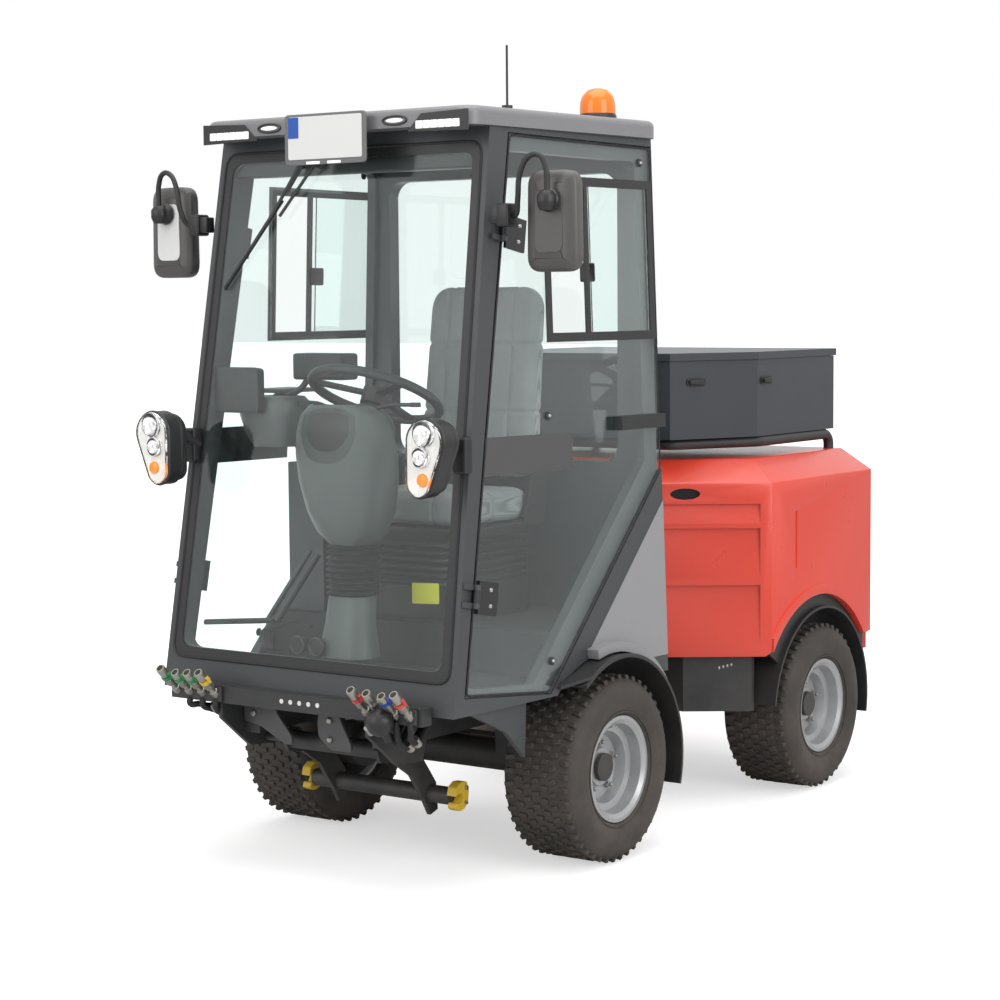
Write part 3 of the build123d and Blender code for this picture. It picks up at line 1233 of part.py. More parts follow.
write("seat_back", seat_back)
write("steering_wheel", make_steering_wheel())
write("steering_column", make_steering_column())
write("side_console", make_side_console())
write("plate_holder", make_plate_holder())
write("beacon", make_beacon())
write("antenna", make_antenna())
write("mirrors", *make_mirrors())
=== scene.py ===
import bpy
from math import cos, hypot, pi, radians, sin
from mathutils import Matrix, Vector


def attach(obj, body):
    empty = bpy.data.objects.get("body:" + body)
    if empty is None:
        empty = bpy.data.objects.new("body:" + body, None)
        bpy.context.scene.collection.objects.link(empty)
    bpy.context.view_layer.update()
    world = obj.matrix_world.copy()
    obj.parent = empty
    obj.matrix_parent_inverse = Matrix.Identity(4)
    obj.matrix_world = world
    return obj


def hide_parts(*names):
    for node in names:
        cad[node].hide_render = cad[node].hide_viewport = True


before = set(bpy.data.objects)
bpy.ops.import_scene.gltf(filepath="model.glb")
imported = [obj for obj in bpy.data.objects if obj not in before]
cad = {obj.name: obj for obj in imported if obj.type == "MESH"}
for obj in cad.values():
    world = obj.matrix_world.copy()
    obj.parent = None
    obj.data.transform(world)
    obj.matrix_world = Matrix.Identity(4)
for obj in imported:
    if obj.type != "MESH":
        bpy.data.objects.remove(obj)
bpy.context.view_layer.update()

# CAMERA
# Stands to the front left of the machine, a little above the driver's elbow, and looks slightly
# down and back along it.
yaw, pitch, roll = radians(35.231), radians(4.916), radians(-0.457)
ahead = Vector((-sin(yaw) * cos(pitch), cos(yaw) * cos(pitch), -sin(pitch)))
level = Vector((cos(yaw), sin(yaw), 0))
upright = level.cross(ahead)
across = level * cos(roll) + upright * sin(roll)
top_way = upright * cos(roll) - level * sin(roll)
bpy.ops.object.select_all(action="DESELECT")
bpy.ops.object.camera_add()
camera = bpy.context.object
camera.matrix_world = Matrix.Translation((3.8654, -5.5979, 1.5135)) @ Matrix(
    (across, top_way, -ahead)
).transposed().to_4x4()
camera.data.lens = 83.872
camera.data.sensor_width = 36
bpy.context.scene.camera = camera

# STUDIO
# A white floor that runs out of sight, three big soft boxes and an even white room. The floor
# glows a little to the camera, also through glass, so that it stays white round the machine's shadow.
bpy.context.scene.view_settings.view_transform = "Standard"


def node(tree, kind, **values):
    """A shader node with its settings, and its sockets set or linked by name or number."""
    made = tree.nodes.new("ShaderNode" + kind)
    for name, value in values.items():
        if name == "sockets":
            for key, source in value.items():
                if isinstance(source, bpy.types.NodeSocket):
                    tree.links.new(source, made.inputs[key])
                else:
                    made.inputs[key].default_value = source
        else:
            setattr(made, name, value)
    return made


def new_finish(name):
    """An unset finish, its shader tree and the main shader in it."""
    finish = bpy.data.materials.new(name)
    finish.use_nodes = True
    return finish, finish.node_tree, finish.node_tree.nodes["Principled BSDF"]


bpy.ops.mesh.primitive_plane_add(size=120)
floor = bpy.context.object
floor.name = "studio_floor"
floor_paint, tree, matt = new_finish("floor_white")
matt.inputs["Base Color"].default_value = (0.72, 0.72, 0.72, 1)
matt.inputs["Roughness"].default_value = 0.9
matt.inputs["Specular IOR Level"].default_value = 0.0
matt.inputs["Emission Color"].default_value = (1, 1, 1, 1)
seen = node(tree, "LightPath").outputs
place = node(tree, "TexCoord").outputs["Object"]
reach = node(tree, "VectorMath", operation="LENGTH", sockets={0: place}).outputs["Value"]
far = node(tree, "MapRange", sockets={
    "Value": reach, "From Min": 1.2, "From Max": 3.6, "To Min": 0.55, "To Max": 0.95})
sight = node(tree, "Math", operation="MAXIMUM", sockets={
    0: seen["Is Camera Ray"], 1: seen["Is Transmission Ray"]})
glow = node(tree, "Math", operation="MULTIPLY", sockets={0: sight.outputs[0], 1: far.outputs[0]})
tree.links.new(glow.outputs[0], matt.inputs["Emission Strength"])
floor.data.materials.append(floor_paint)

room = bpy.data.worlds.new("white_room")
bpy.context.scene.world = room
room.use_nodes = True
tree = room.node_tree
air = tree.nodes["Background"]
air.inputs["Color"].default_value = (1, 1, 1, 1)
seen = node(tree, "LightPath").outputs
clear = node(tree, "Math", operation="MAXIMUM", sockets={0: seen["Is Camera Ray"], 1: seen["Is Glossy Ray"]})
clear = node(tree, "Math", operation="MAXIMUM", sockets={0: clear.outputs[0], 1: seen["Is Transmission Ray"]})
strength = node(tree, "MapRange", sockets={"Value": clear.outputs[0], "To Min": 0.55, "To Max": 1.0})
tree.links.new(strength.outputs[0], air.inputs["Strength"])

for name, place, size, power in (
    ("lamp_above", (0.5, -0.6, 5.2), 4.5, 150),
    ("lamp_left", (5.5, -1.5, 3.0), 3.5, 130),
    ("lamp_front", (-1.5, -6.0, 3.2), 3.5, 90),
):
    bpy.ops.object.light_add(type="AREA", location=place)
    lamp = bpy.context.object
    lamp.name = name
    lamp.data.size = size
    lamp.data.energy = power
    aim = Vector((0, 0.1, 0.9)) - Vector(place)
    lamp.rotation_euler = aim.to_track_quat("-Z", "Y").to_euler()

# TYRES
# Four 20 inch turf tyres: a soft black carcass with rows of small rubber blocks moulded on the
# tread. One is built at the front left and copied to the other three wheels.
FRONT_AXLE = -0.370
REAR_AXLE = 0.804
TRACK = 0.455
AXLE_HIGH = 0.254


def put_away():
    bpy.ops.object.select_all(action="DESELECT")


def edit(action="SELECT"):
    bpy.ops.object.mode_set(mode="EDIT")
    bpy.ops.mesh.select_all(action=action)


def leave_edit():
    bpy.ops.object.mode_set(mode="OBJECT")


def block(low, high, soften=0.002, steps=2):
    """A cube primitive stretched between two corners, with its edges bevelled."""
    put_away()
    low, high = Vector(low), Vector(high)
    bpy.ops.mesh.primitive_cube_add(size=1, location=(low + high) / 2, scale=high - low)
    bpy.ops.object.transform_apply(location=True, rotation=True, scale=True)
    if soften:
        edit()
        bpy.ops.mesh.bevel(offset=soften, segments=steps, affect="EDGES")
        leave_edit()
    return bpy.context.object


def soften_edges(piece, width, steps=2):
    """Bevel modifier on the piece's sharp edges, applied."""
    bevel = piece.modifiers.new("edges", "BEVEL")
    bevel.width = width
    bevel.segments = steps
    bevel.limit_method = "ANGLE"
    bevel.angle_limit = radians(35)
    bpy.context.view_layer.objects.active = piece
    bpy.ops.object.modifier_apply(modifier="edges")


def turned(profile, centre, axis, steps=48):
    """A closed outline of (along, radius) points spun round an axis through the centre."""
    put_away()
    bpy.ops.mesh.primitive_circle_add(vertices=len(profile), fill_type="NOTHING")
    piece = bpy.context.object
    centre, axis = Vector(centre), Vector(axis).normalized()
    out = axis.orthogonal().normalized()
    for corner, (along, radius) in zip(piece.data.vertices, profile):
        corner.co = centre + axis * along + out * radius
    edit()
    bpy.ops.mesh.spin(steps=steps, angle=2 * pi, center=centre, axis=axis)
    bpy.ops.mesh.select_all(action="SELECT")
    bpy.ops.mesh.remove_doubles(threshold=0.00001)
    bpy.ops.mesh.normals_make_consistent(inside=False)
    leave_edit()
    return piece


def round_smooth(piece, angle=35):
    put_away()
    piece.select_set(True)
    bpy.context.view_layer.objects.active = piece
    bpy.ops.object.shade_smooth_by_angle(angle=radians(angle))


def joined(pieces, name):
    """Several pieces welded into one object."""
    put_away()
    for piece in pieces:
        piece.select_set(True)
    bpy.context.view_layer.objects.active = pieces[0]
    if len(pieces) > 1:
        bpy.ops.object.join()
    pieces[0].name = name
    return pieces[0]


def copied(piece, change, mirrored=False):
    """The same piece moved, with a mesh of its own."""
    twin = piece.copy()
    twin.data = piece.data.copy()
    bpy.context.collection.objects.link(twin)
    twin.data.transform(change)
    if mirrored:
        twin.data.flip_normals()
    return twin


def fitted(piece, name, body, finish):
    """Name, finish and body of a finished piece, or of a list of pieces made one."""
    if isinstance(piece, list):
        piece = joined(piece, name)
    piece.name = name
    piece.data.materials.clear()
    piece.data.materials.append(finish)
    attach(piece, body)
    return piece


def effect(name, inputs, outputs):
    """An empty shader node group with named sockets."""
    group = bpy.data.node_groups.new(name, "ShaderNodeTree")
    for label, kind, value in inputs:
        socket = group.interface.new_socket(label, in_out="INPUT", socket_type="NodeSocket" + kind)
        socket.default_value = value
    for label, kind in outputs:
        group.interface.new_socket(label, in_out="OUTPUT", socket_type="NodeSocket" + kind)
    return group, group.nodes.new("NodeGroupInput").outputs, group.nodes.new("NodeGroupOutput").inputs


def blend(tree, factor, first, second):
    """One colour mixed into another by a factor."""
    return node(tree, "Mix", data_type="RGBA", sockets={0: factor, 6: first, 7: second}).outputs[2]


def make_road_film():
    """Dust and dried splashes that lie thicker towards the ground and in patches."""
    group, given, put = effect(
        "road_film",
        (("Colour", "Color", (0.5, 0.5, 0.5, 1)), ("Dust", "Color", (0.24, 0.2, 0.16, 1)),
         ("Amount", "Float", 0.5), ("Height", "Float", 0.5)),
        (("Colour", "Color"), ("Mask", "Float")),
    )
    where = node(group, "TexCoord").outputs["Object"]
    patches = node(group, "TexNoise", sockets={
        "Vector": where, "Scale": 7.0, "Detail": 6.0, "Roughness": 0.65})
    up = node(group, "SeparateXYZ", sockets={0: where}).outputs[2]
    low = node(group, "MapRange", sockets={"Value": up, "From Min": given["Height"], "From Max": 0.0})
    cloud = node(group, "MapRange", sockets={
        "Value": patches.outputs[0], "From Min": 0.35, "From Max": 0.75})
    film = node(group, "Math", operation="MULTIPLY", sockets={0: low.outputs[0], 1: cloud.outputs[0]})
    film = node(group, "Math", operation="MULTIPLY", sockets={0: film.outputs[0], 1: given["Amount"]})
    group.links.new(blend(group, film.outputs[0], given["Colour"], given["Dust"]), put["Colour"])
    group.links.new(film.outputs[0], put["Mask"])
    return group


def make_grain():
    """Fine relief and small shifts of tone and gloss that every moulded or painted face has."""
    group, given, put = effect(
        "grain",
        (("Colour", "Color", (0.5, 0.5, 0.5, 1)), ("Tone", "Float", 0.15), ("Fineness", "Float", 300.0),
         ("Relief", "Float", 0.1), ("Rough", "Float", 0.4), ("Unevenness", "Float", 0.1)),
        (("Colour", "Color"), ("Roughness", "Float"), ("Normal", "Vector")),
    )
    where = node(group, "TexCoord").outputs["Object"]
    broad = node(group, "TexNoise", sockets={"Vector": where, "Scale": 9.0, "Detail": 5.0, "Roughness": 0.6})
    fine = node(group, "TexNoise", sockets={"Vector": where, "Scale": given["Fineness"], "Detail": 2.0})
    shade = node(group, "HueSaturation", sockets={"Color": given["Colour"], "Value": 0.72})
    part = node(group, "Math", operation="MULTIPLY", sockets={0: broad.outputs[0], 1: given["Tone"]})
    group.links.new(blend(group, part.outputs[0], given["Colour"], shade.outputs[0]), put["Colour"])
    swing = node(group, "Math", operation="SUBTRACT", sockets={0: broad.outputs[0], 1: 0.5})
    gloss = node(group, "Math", operation="MULTIPLY_ADD", use_clamp=True,
                 sockets={0: swing.outputs[0], 1: given["Unevenness"], 2: given["Rough"]})
    group.links.new(gloss.outputs[0], put["Roughness"])
    bump = node(group, "Bump", sockets={
        "Strength": given["Relief"], "Distance": 0.0006, "Height": fine.outputs[0]})
    group.links.new(bump.outputs[0], put["Normal"])
    return group


road_film = make_road_film()
grain = make_grain()


def surface(name, colour, rough=0.45, tone=0.2, fineness=260.0, relief=0.12, uneven=0.15,
            dust=0.0, dust_high=0.6, dust_colour=(0.2, 0.17, 0.14), **shader):
    """A painted, moulded or metal finish: grain all over, and road film where it gets dirty."""
    finish, tree, bsdf = new_finish(name)
    skin = node(tree, "Group", node_tree=grain, sockets={
        "Colour": (*colour, 1), "Tone": tone, "Fineness": fineness, "Relief": relief,
        "Rough": rough, "Unevenness": uneven})
    source = skin.outputs["Colour"]
    if dust:
        film = node(tree, "Group", node_tree=road_film, sockets={
            "Colour": source, "Dust": (*dust_colour, 1), "Amount": dust, "Height": dust_high})
        source = film.outputs["Colour"]
    tree.links.new(source, bsdf.inputs["Base Color"])
    tree.links.new(skin.outputs["Roughness"], bsdf.inputs["Roughness"])
    tree.links.new(skin.outputs["Normal"], bsdf.inputs["Normal"])
    for label, value in shader.items():
        bsdf.inputs[label.replace("_", " ")].default_value = value
    return finish


tread_rubber = surface("tread_rubber", (0.042, 0.037, 0.033), rough=0.72, tone=0.5, fineness=420, relief=0.35,
                       dust=0.75, dust_high=0.75, dust_colour=(0.13, 0.105, 0.085))


def build_tyre():
    """Carcass turned from its section, then the blocks of the tread laid round it row by row."""
    centre = (TRACK, FRONT_AXLE, AXLE_HIGH)
    half = [(0.0977, 0.130), (0.0977, 0.146), (0.1055, 0.1495), (0.1125, 0.162), (0.117, 0.178),
            (0.1195, 0.192), (0.1195, 0.206), (0.1165, 0.220), (0.110, 0.232), (0.099, 0.2415),
            (0.085, 0.2455), (0.045, 0.247)]
    pieces = [turned(half + [(-along, r) for along, r in reversed(half)], centre, (1, 0, 0), 96)]
    bead = [(0.109, 0.153), (0.1125, 0.1535), (0.1125, 0.157), (0.109, 0.158)]
    pieces.append(turned(bead, centre, (1, 0, 0), 96))
    pieces.append(turned([(-along, r) for along, r in reversed(bead)], centre, (1, 0, 0), 96))
    rows = ((0.000, 0.011, 0.0068, 44, 0.0, 0.0), (0.027, 0.011, 0.0068, 44, 0.5, 12.0),
            (0.054, 0.0115, 0.0072, 44, 0.0, -14.0), (0.084, 0.014, 0.0072, 44, 0.5, 10.0))
    for across_at, half_wide, half_long, count, shift, skew in rows:
        on_shoulder = across_at > 0.07
        low, high = (0.236, 0.2512) if on_shoulder else (0.243, 0.2534)
        for side in ((1, -1) if across_at else (1,)):
            x = TRACK + side * across_at
            lug = block(
                (x - half_wide, FRONT_AXLE - half_long, AXLE_HIGH + low),
                (x + half_wide, FRONT_AXLE + half_long, AXLE_HIGH + high),
                0.002,
                1,
            )
            edit()
            if on_shoulder:
                bpy.ops.transform.rotate(value=radians(14 * side), orient_axis="Y",
                                         center_override=(x, FRONT_AXLE, AXLE_HIGH + high - 0.004))
            bpy.ops.transform.rotate(value=radians(skew * side), orient_axis="Z",
                                     center_override=(x, FRONT_AXLE, AXLE_HIGH + high))
            pitch_angle = 2 * pi / count
            if shift:
                bpy.ops.transform.rotate(value=shift * pitch_angle, orient_axis="X", center_override=centre)
            for _ in range(count - 1):
                bpy.ops.mesh.duplicate()
                bpy.ops.transform.rotate(value=pitch_angle, orient_axis="X", center_override=centre)
            leave_edit()
            pieces.append(lug)
    tyre = joined(pieces, "tyre_front_left_lugged")
    round_smooth(tyre, 40)
    return tyre


tyre = build_tyre()
across_machine = Matrix.Scale(-1, 4, (1, 0, 0))
for end, shift in (("front", 0.0), ("rear", REAR_AXLE - FRONT_AXLE)):
    for side in ("left", "right"):
        change = Matrix.Translation((0, shift, 0))
        if side == "right":
            change = across_machine @ change
        lugged = copied(tyre, change, side == "right")
        name = f"{end}_{side}"
        fitted(lugged, f"turf_tyre_{name}", f"wheel_{name}", tread_rubber)
        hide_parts(f"tyre_{name}")
bpy.data.objects.remove(tyre)

# RIMS
# Pressed steel discs welded in silver-grey rims, held by five wheel nuts round the hub, with a
# rubber valve through the dish.
rim_silver = surface("rim_silver", (0.46, 0.47, 0.48), rough=0.36, tone=0.25, relief=0.06, dust=0.35,
                     dust_high=0.7, Metallic=0.55)
nut_steel = surface("nut_steel", (0.38, 0.37, 0.35), rough=0.4, tone=0.5, relief=0.1, Metallic=0.9)


def wheel_nuts():
    """Five domed hexagon nuts round the hub, and the valve stem."""
    circle = 0.068
    pieces = []
    for i in range(5):
        angle = 2 * pi * i / 5 + 0.3
        seat = Vector((TRACK + 0.0345, FRONT_AXLE + circle * cos(angle), AXLE_HIGH + circle * sin(angle)))
        put_away()
        bpy.ops.mesh.primitive_cylinder_add(
            vertices=6, radius=0.0105, depth=0.014, location=seat + Vector((0.006, 0, 0)),
            rotation=(0, pi / 2, 0))
        bpy.ops.object.transform_apply(location=True, rotation=True, scale=True)
        nut = bpy.context.object
        soften_edges(nut, 0.002)
        stud = turned([(0, 0), (0, 0.0055), (0.020, 0.0055), (0.022, 0.004), (0.022, 0)], seat, (1, 0, 0), 12)
        pieces += [nut, stud]
    valve = Vector((TRACK + 0.058, FRONT_AXLE, AXLE_HIGH + 0.109))
    stem = [(0, 0), (0, 0.0045), (0.020, 0.004), (0.026, 0.0045), (0.026, 0)]
    pieces.append(turned(stem, valve, (1, 0, 0.25), 12))
    nuts = joined(pieces, "nuts")
    round_smooth(nuts)
    return nuts


nuts = wheel_nuts()
for end, shift in (("front", 0.0), ("rear", REAR_AXLE - FRONT_AXLE)):
    for side in ("left", "right"):
        change = Matrix.Translation((0, shift, 0))
        if side == "right":
            change = across_machine @ change
        name = f"{end}_{side}"
        ring = copied(nuts, change, side == "right")
        fitted(ring, f"wheel_nuts_{name}", f"wheel_{name}", nut_steel)
bpy.data.objects.remove(nuts)


def coat(names, finish):
    """Lay a finish on CAD nodes whose shape is kept."""
    for name in names:
        piece = cad[name]
        piece.data.materials.clear()
        piece.data.materials.append(finish)


coat([f"rim_{end}_{side}" for end in ("front", "rear") for side in ("left", "right")], rim_silver)

# CAB FRAME
# One welded shell of dark grey powder-coated posts, sills and rails. The panels behind the doors
# and the roof are lighter grey mouldings.
post_grey = surface("post_grey", (0.052, 0.056, 0.06), rough=0.42, tone=0.2, fineness=500, relief=0.12,
                    dust=0.3)
panel_grey = surface("panel_grey", (0.30, 0.295, 0.305), rough=0.34, tone=0.12, fineness=350, relief=0.05,
                     dust=0.25)
roof_grey = surface("roof_grey", (0.215, 0.212, 0.22), rough=0.36, tone=0.12, fineness=350, relief=0.05)
coat(["cab_frame"], post_grey)
coat(["quarter_panels"], panel_grey)
coat(["roof_shell"], roof_grey)
floor_black = surface("floor_black", (0.028, 0.029, 0.03), rough=0.7, tone=0.3, relief=0.12)
coat(["cab_tub"], floor_black)

# GLASS
# Toughened panes with a pale green tint: the curved-edge windshield, the rear window, and one
# frameless pane for each whole door.


def make_glass(name, tint):
    """Clear glass whose shadow takes its tint instead of going black."""
    finish, tree, bsdf = new_finish(name)
    where = node(tree, "TexCoord").outputs["Object"]
    haze = node(tree, "TexNoise", sockets={"Vector": where, "Scale": 5.0, "Detail": 4.0})
    clear = tuple(min(1.0, c * 1.03) for c in tint)
    tree.links.new(blend(tree, haze.outputs[0], (*tint, 1), (*clear, 1)), bsdf.inputs["Base Color"])
    bsdf.inputs["Roughness"].default_value = 0.0
    bsdf.inputs["IOR"].default_value = 1.45
    bsdf.inputs["Transmission Weight"].default_value = 1.0
    lit = node(tree, "LightPath").outputs["Is Shadow Ray"]
    through = node(tree, "BsdfTransparent", sockets={"Color": (*tint, 1)})
    mix = node(tree, "MixShader", sockets={0: lit, 1: bsdf.outputs[0], 2: through.outputs[0]})
    tree.links.new(mix.outputs[0], tree.nodes["Material Output"].inputs["Surface"])
    return finish


pane_green = make_glass("pane_green", (0.90, 0.955, 0.94))
coat(["cab_glass", "door_left_glass", "door_right_glass"], pane_green)

# CHASSIS AND LINKAGE BASE FINISHES
# Rails, axles, forks and arms are satin black under road film. Fenders, liners and cab fittings are
# black moulded plastic, the engine is dark cast iron and the lift cylinder's rod is chromed.
chassis_black = surface("chassis_black", (0.03, 0.031, 0.033), rough=0.5, tone=0.35, fineness=350,
                        relief=0.15, dust=0.5, dust_high=0.55)
coat(["front_chassis", "rear_chassis", "pivot_knuckle", "front_axle", "rear_axle", "linkage_carrier",
      "lift_frame", "lift_barrel"], chassis_black)
rod_chrome = surface("rod_chrome", (0.62, 0.62, 0.62), rough=0.14, tone=0.1, relief=0.02, Metallic=1.0)
coat(["lift_rod"], rod_chrome)
black_plastic = surface("black_plastic", (0.022, 0.022, 0.023), rough=0.46, tone=0.2, fineness=520,
                        relief=0.25, dust=0.35)
coat(["front_fenders", "rear_liners", "antenna", "steering_wheel", "seat_base"], black_plastic)
column_grey = surface("column_grey", (0.05, 0.053, 0.055), rough=0.5, tone=0.15, fineness=700, relief=0.08)
coat(["steering_column", "side_console"], column_grey)
tank_black = surface("tank_black", (0.026, 0.027, 0.029), rough=0.48, tone=0.2, fineness=380, relief=0.18,
                     dust=0.4)
coat(["side_tanks"], tank_black)
engine_iron = surface("engine_iron", (0.06, 0.06, 0.06), rough=0.6, tone=0.5, fineness=120, relief=0.4,
                      Metallic=0.5)
coat(["engine_block"], engine_iron)

# REAR BODY
# The engine body is red-orange moulded plastic with a gloss gel coat. The storage box above it is
# anthracite sheet on a black rail.
body_red = surface("body_red", (0.78, 0.062, 0.034), rough=0.3, tone=0.1, fineness=240, relief=0.03,
                   dust=0.18, dust_high=0.55, Coat_Weight=0.25, Coat_Roughness=0.12)
coat(["tail_door"], body_red)
box_anthracite = surface("box_anthracite", (0.042, 0.047, 0.055), rough=0.38, tone=0.15, fineness=420,
                         relief=0.06)
coat(["storage_box", "box_lid"], box_anthracite)
coat(["box_rail"], chassis_black)

# CAB SEALS
# Black rubber beads press the windshield into its rebate and edge the frameless doors. A black band
# runs round inside the windshield's edge, and a black cover behind its top hides the wiper motor.
seal_rubber = surface("seal_rubber", (0.012, 0.012, 0.013), rough=0.6, tone=0.2, fineness=600, relief=0.15)
trim_black = surface("trim_black", (0.018, 0.018, 0.019), rough=0.42, tone=0.2, fineness=520, relief=0.2)
side_slant = 0.04836
side_at_axle = 535.7
side_out = Vector((1, -side_slant, 0.036)).normalized()
side_along = Vector((side_slant, 1, 0)).normalized()
side_up = side_out.cross(side_along)
glass_slant = 0.1584
glass_at_ground = -725.12
glass_out = Vector((0, -1, glass_slant)).normalized()
glass_up = glass_out.cross(Vector((1, 0, 0)))


def spot(x, behind, up):
    """A place in metres from millimetres across, behind the front axle and above the ground."""
    return Vector((x, behind - 370, up)) / 1000


def on_side(behind, up, out=0.0):
    """A place on the cab's left side, measured along it and up it."""
    return spot(side_at_axle, 0, 0) + (side_along * behind + side_up * up + side_out * out) / 1000


def on_glass(x, up, out=0.0):
    """A place on the windshield's outside at a height."""
    along_glass = glass_up * up * hypot(1, glass_slant)
    return spot(x, glass_at_ground, 0) + (along_glass + glass_out * out) / 1000


def rounded(corners, radius, steps=4):
    """A flat outline whose corners are turned into short arcs."""
    path = []
    for i, corner in enumerate(corners):
        corner, before = Vector(corner), Vector(corners[i - 1])
        after = Vector(corners[(i + 1) % len(corners)])
        start = corner + (before - corner).normalized() * radius
        end = corner + (after - corner).normalized() * radius
        for k in range(steps + 1):
            t = k / steps
            path.append(start * (1 - t) ** 2 + corner * 2 * t * (1 - t) + end * t * t)
    return path


def oblong(low_x, low_y, high_x, high_y, radius, steps=4):
    """A rectangle with round corners."""
    return rounded([(low_x, low_y), (high_x, low_y), (high_x, high_y), (low_x, high_y)], radius, steps)


def slab(points, thick, soften=0.0, steps=2):
    """A flat outline of places, filled, extruded by a vector and bevelled."""
    put_away()
    bpy.ops.mesh.primitive_circle_add(vertices=len(points), fill_type="NGON")
    piece = bpy.context.object
    for corner, place in zip(piece.data.vertices, points):
        corner.co = place
    edit()
    bpy.ops.mesh.extrude_region_move(TRANSFORM_OT_translate={"value": thick})
    bpy.ops.mesh.select_all(action="SELECT")
    bpy.ops.mesh.normals_make_consistent(inside=False)
    leave_edit()
    if soften:
        soften_edges(piece, soften, steps)
    return piece


def tube(points, radius, bends="AUTO", closed=False, sides=3):
    """A round rod or hose through places, made a mesh."""
    put_away()
    bpy.ops.curve.primitive_bezier_curve_add()
    run = bpy.context.object
    line = run.data.splines[0]
    line.bezier_points.add(len(points) - 2)
    for knot, place in zip(line.bezier_points, points):
        knot.co = place
        knot.radius = 1.0
        knot.handle_left_type = knot.handle_right_type = bends
    line.use_cyclic_u = closed
    run.data.dimensions = "3D"
    run.data.bevel_depth = radius
    run.data.bevel_resolution = sides
    run.data.resolution_u = 1 if bends == "VECTOR" else 8
    run.data.use_fill_caps = True
    bpy.ops.object.convert(target="MESH")
    piece = bpy.context.object
    round_smooth(piece, 50)
    return piece


def rod(places, radius, bends="AUTO"):
    """A tube through places given as (x, behind, up)."""
    return tube([spot(*place) for place in places], radius, bends)


def mirrored_twin(piece):
    return copied(piece, across_machine, True)


def fitted_pair(piece, name, body, finish):
    """A left-hand piece and its twin fitted; the braces in the names take the side."""
    twin = fitted(mirrored_twin(piece), name.format("right"), body.format("r"), finish)
    return twin, fitted(piece, name.format("left"), body.format("l"), finish)


shield = rounded([(-464.7, 562), (464.7, 562), (426.5, 1912), (-426.5, 1912)], 40)
shield_bead = tube([on_glass(x, up, 0.5) for x, up in shield], 0.0038, "VECTOR", True, 2)
fitted(shield_bead, "windshield_bead", "front_frame", seal_rubber)
inner = rounded([(-437, 590), (437, 590), (401, 1886), (-401, 1886)], 34)


def flat_band(outer, inner, thick):
    """A thin band between two outlines with as many places each."""
    put_away()
    count = len(outer)
    bpy.ops.mesh.primitive_grid_add(x_subdivisions=count, y_subdivisions=1)
    piece = bpy.context.object
    for j, line in enumerate((outer, inner)):
        for i in range(count + 1):
            piece.data.vertices[j * (count + 1) + i].co = line[i % count]
    edit()
    bpy.ops.mesh.remove_doubles(threshold=0.00001)
    bpy.ops.mesh.select_all(action="SELECT")
    bpy.ops.mesh.extrude_region_move(TRANSFORM_OT_translate={"value": thick})
    bpy.ops.mesh.select_all(action="SELECT")
    bpy.ops.mesh.normals_make_consistent(inside=False)
    leave_edit()
    return piece


band = flat_band([on_glass(x, up, 0.3) for x, up in shield], [on_glass(x, up, 0.3) for x, up in inner],
                 glass_out * 0.0005)
fitted(band, "windshield_black_band", "front_frame", trim_black)
header = block(spot(-432, -412, 1846), spot(432, -372, 1925), 0.006)
fitted(header, "wiper_motor_cover", "front_frame", trim_black)
door_edge = rounded([(-340, 1931), (285, 1923), (290, 1046), (-251, 495), (-598, 531)], 14)
edge = tube([on_side(along, up, -1.0) for along, up in door_edge], 0.0032, "VECTOR", True, 2)
fitted_pair(edge, "door_{}_edge_seal", "door_{}", seal_rubber)

# DOOR FITTINGS
# Round clamp buttons and hinge screws go through the pane. A plain dark decal band without words
# and the sliding window's catch sit on it.
decal_grey = surface("decal_grey", (0.075, 0.072, 0.074), rough=0.4, tone=0.1, fineness=300, relief=0.03)
screw_bright = surface("screw_bright", (0.6, 0.6, 0.6), rough=0.25, tone=0.2, relief=0.05, Metallic=1.0)
band = [on_side(a, u, 0.2) for a, u in ((-484, 1169), (-116, 1165), (-121, 1067), (-499, 1072))]
band = slab(band, side_out * 0.0006)
button = [(0, 0), (0, 0.0115), (0.003, 0.0112), (0.0055, 0.008), (0.0058, 0)]
button_screw = [(0, 0), (0, 0.0048), (0.0022, 0.0036), (0.0028, 0)]
hinge_screw = [(0, 0), (0, 0.0058), (0.0025, 0.0048), (0.0036, 0)]
buttons = []
screws = []
for along, up in ((-219.9, 1212.3), (234.2, 1883.3), (-241.0, 574.4)):
    buttons.append(turned(button, on_side(along, up, 0.2), side_out, 24))
    screws.append(turned(button_screw, on_side(along, up, 5.8), side_out, 16))
for along, up in ((-494.6, 786.3), (-500.3, 746.3), (-322, 1700), (-330, 1660)):
    screws.append(turned(hinge_screw, on_side(along, up, 8.0), side_out, 16))
catch = slab([on_side(a, u, 0) for a, u in oblong(-24, 1560, 12, 1610, 6)], side_out * -0.026, 0.003)
for piece in buttons + screws:
    round_smooth(piece, 40)
for piece, name, slot, finish in (
    (band, "decal_band", "panel_grey", decal_grey),
    (joined(buttons, "buttons"), "clamp_buttons", "black_plastic", trim_black),
    (joined(screws, "screws"), "screws", "coupler_steel", screw_bright),
    (catch, "window_catch", "black_plastic", trim_black),
):
    fitted_pair(piece, "door_{}_" + name, "door_{}", finish)
coat(["door_left", "door_right"], trim_black)

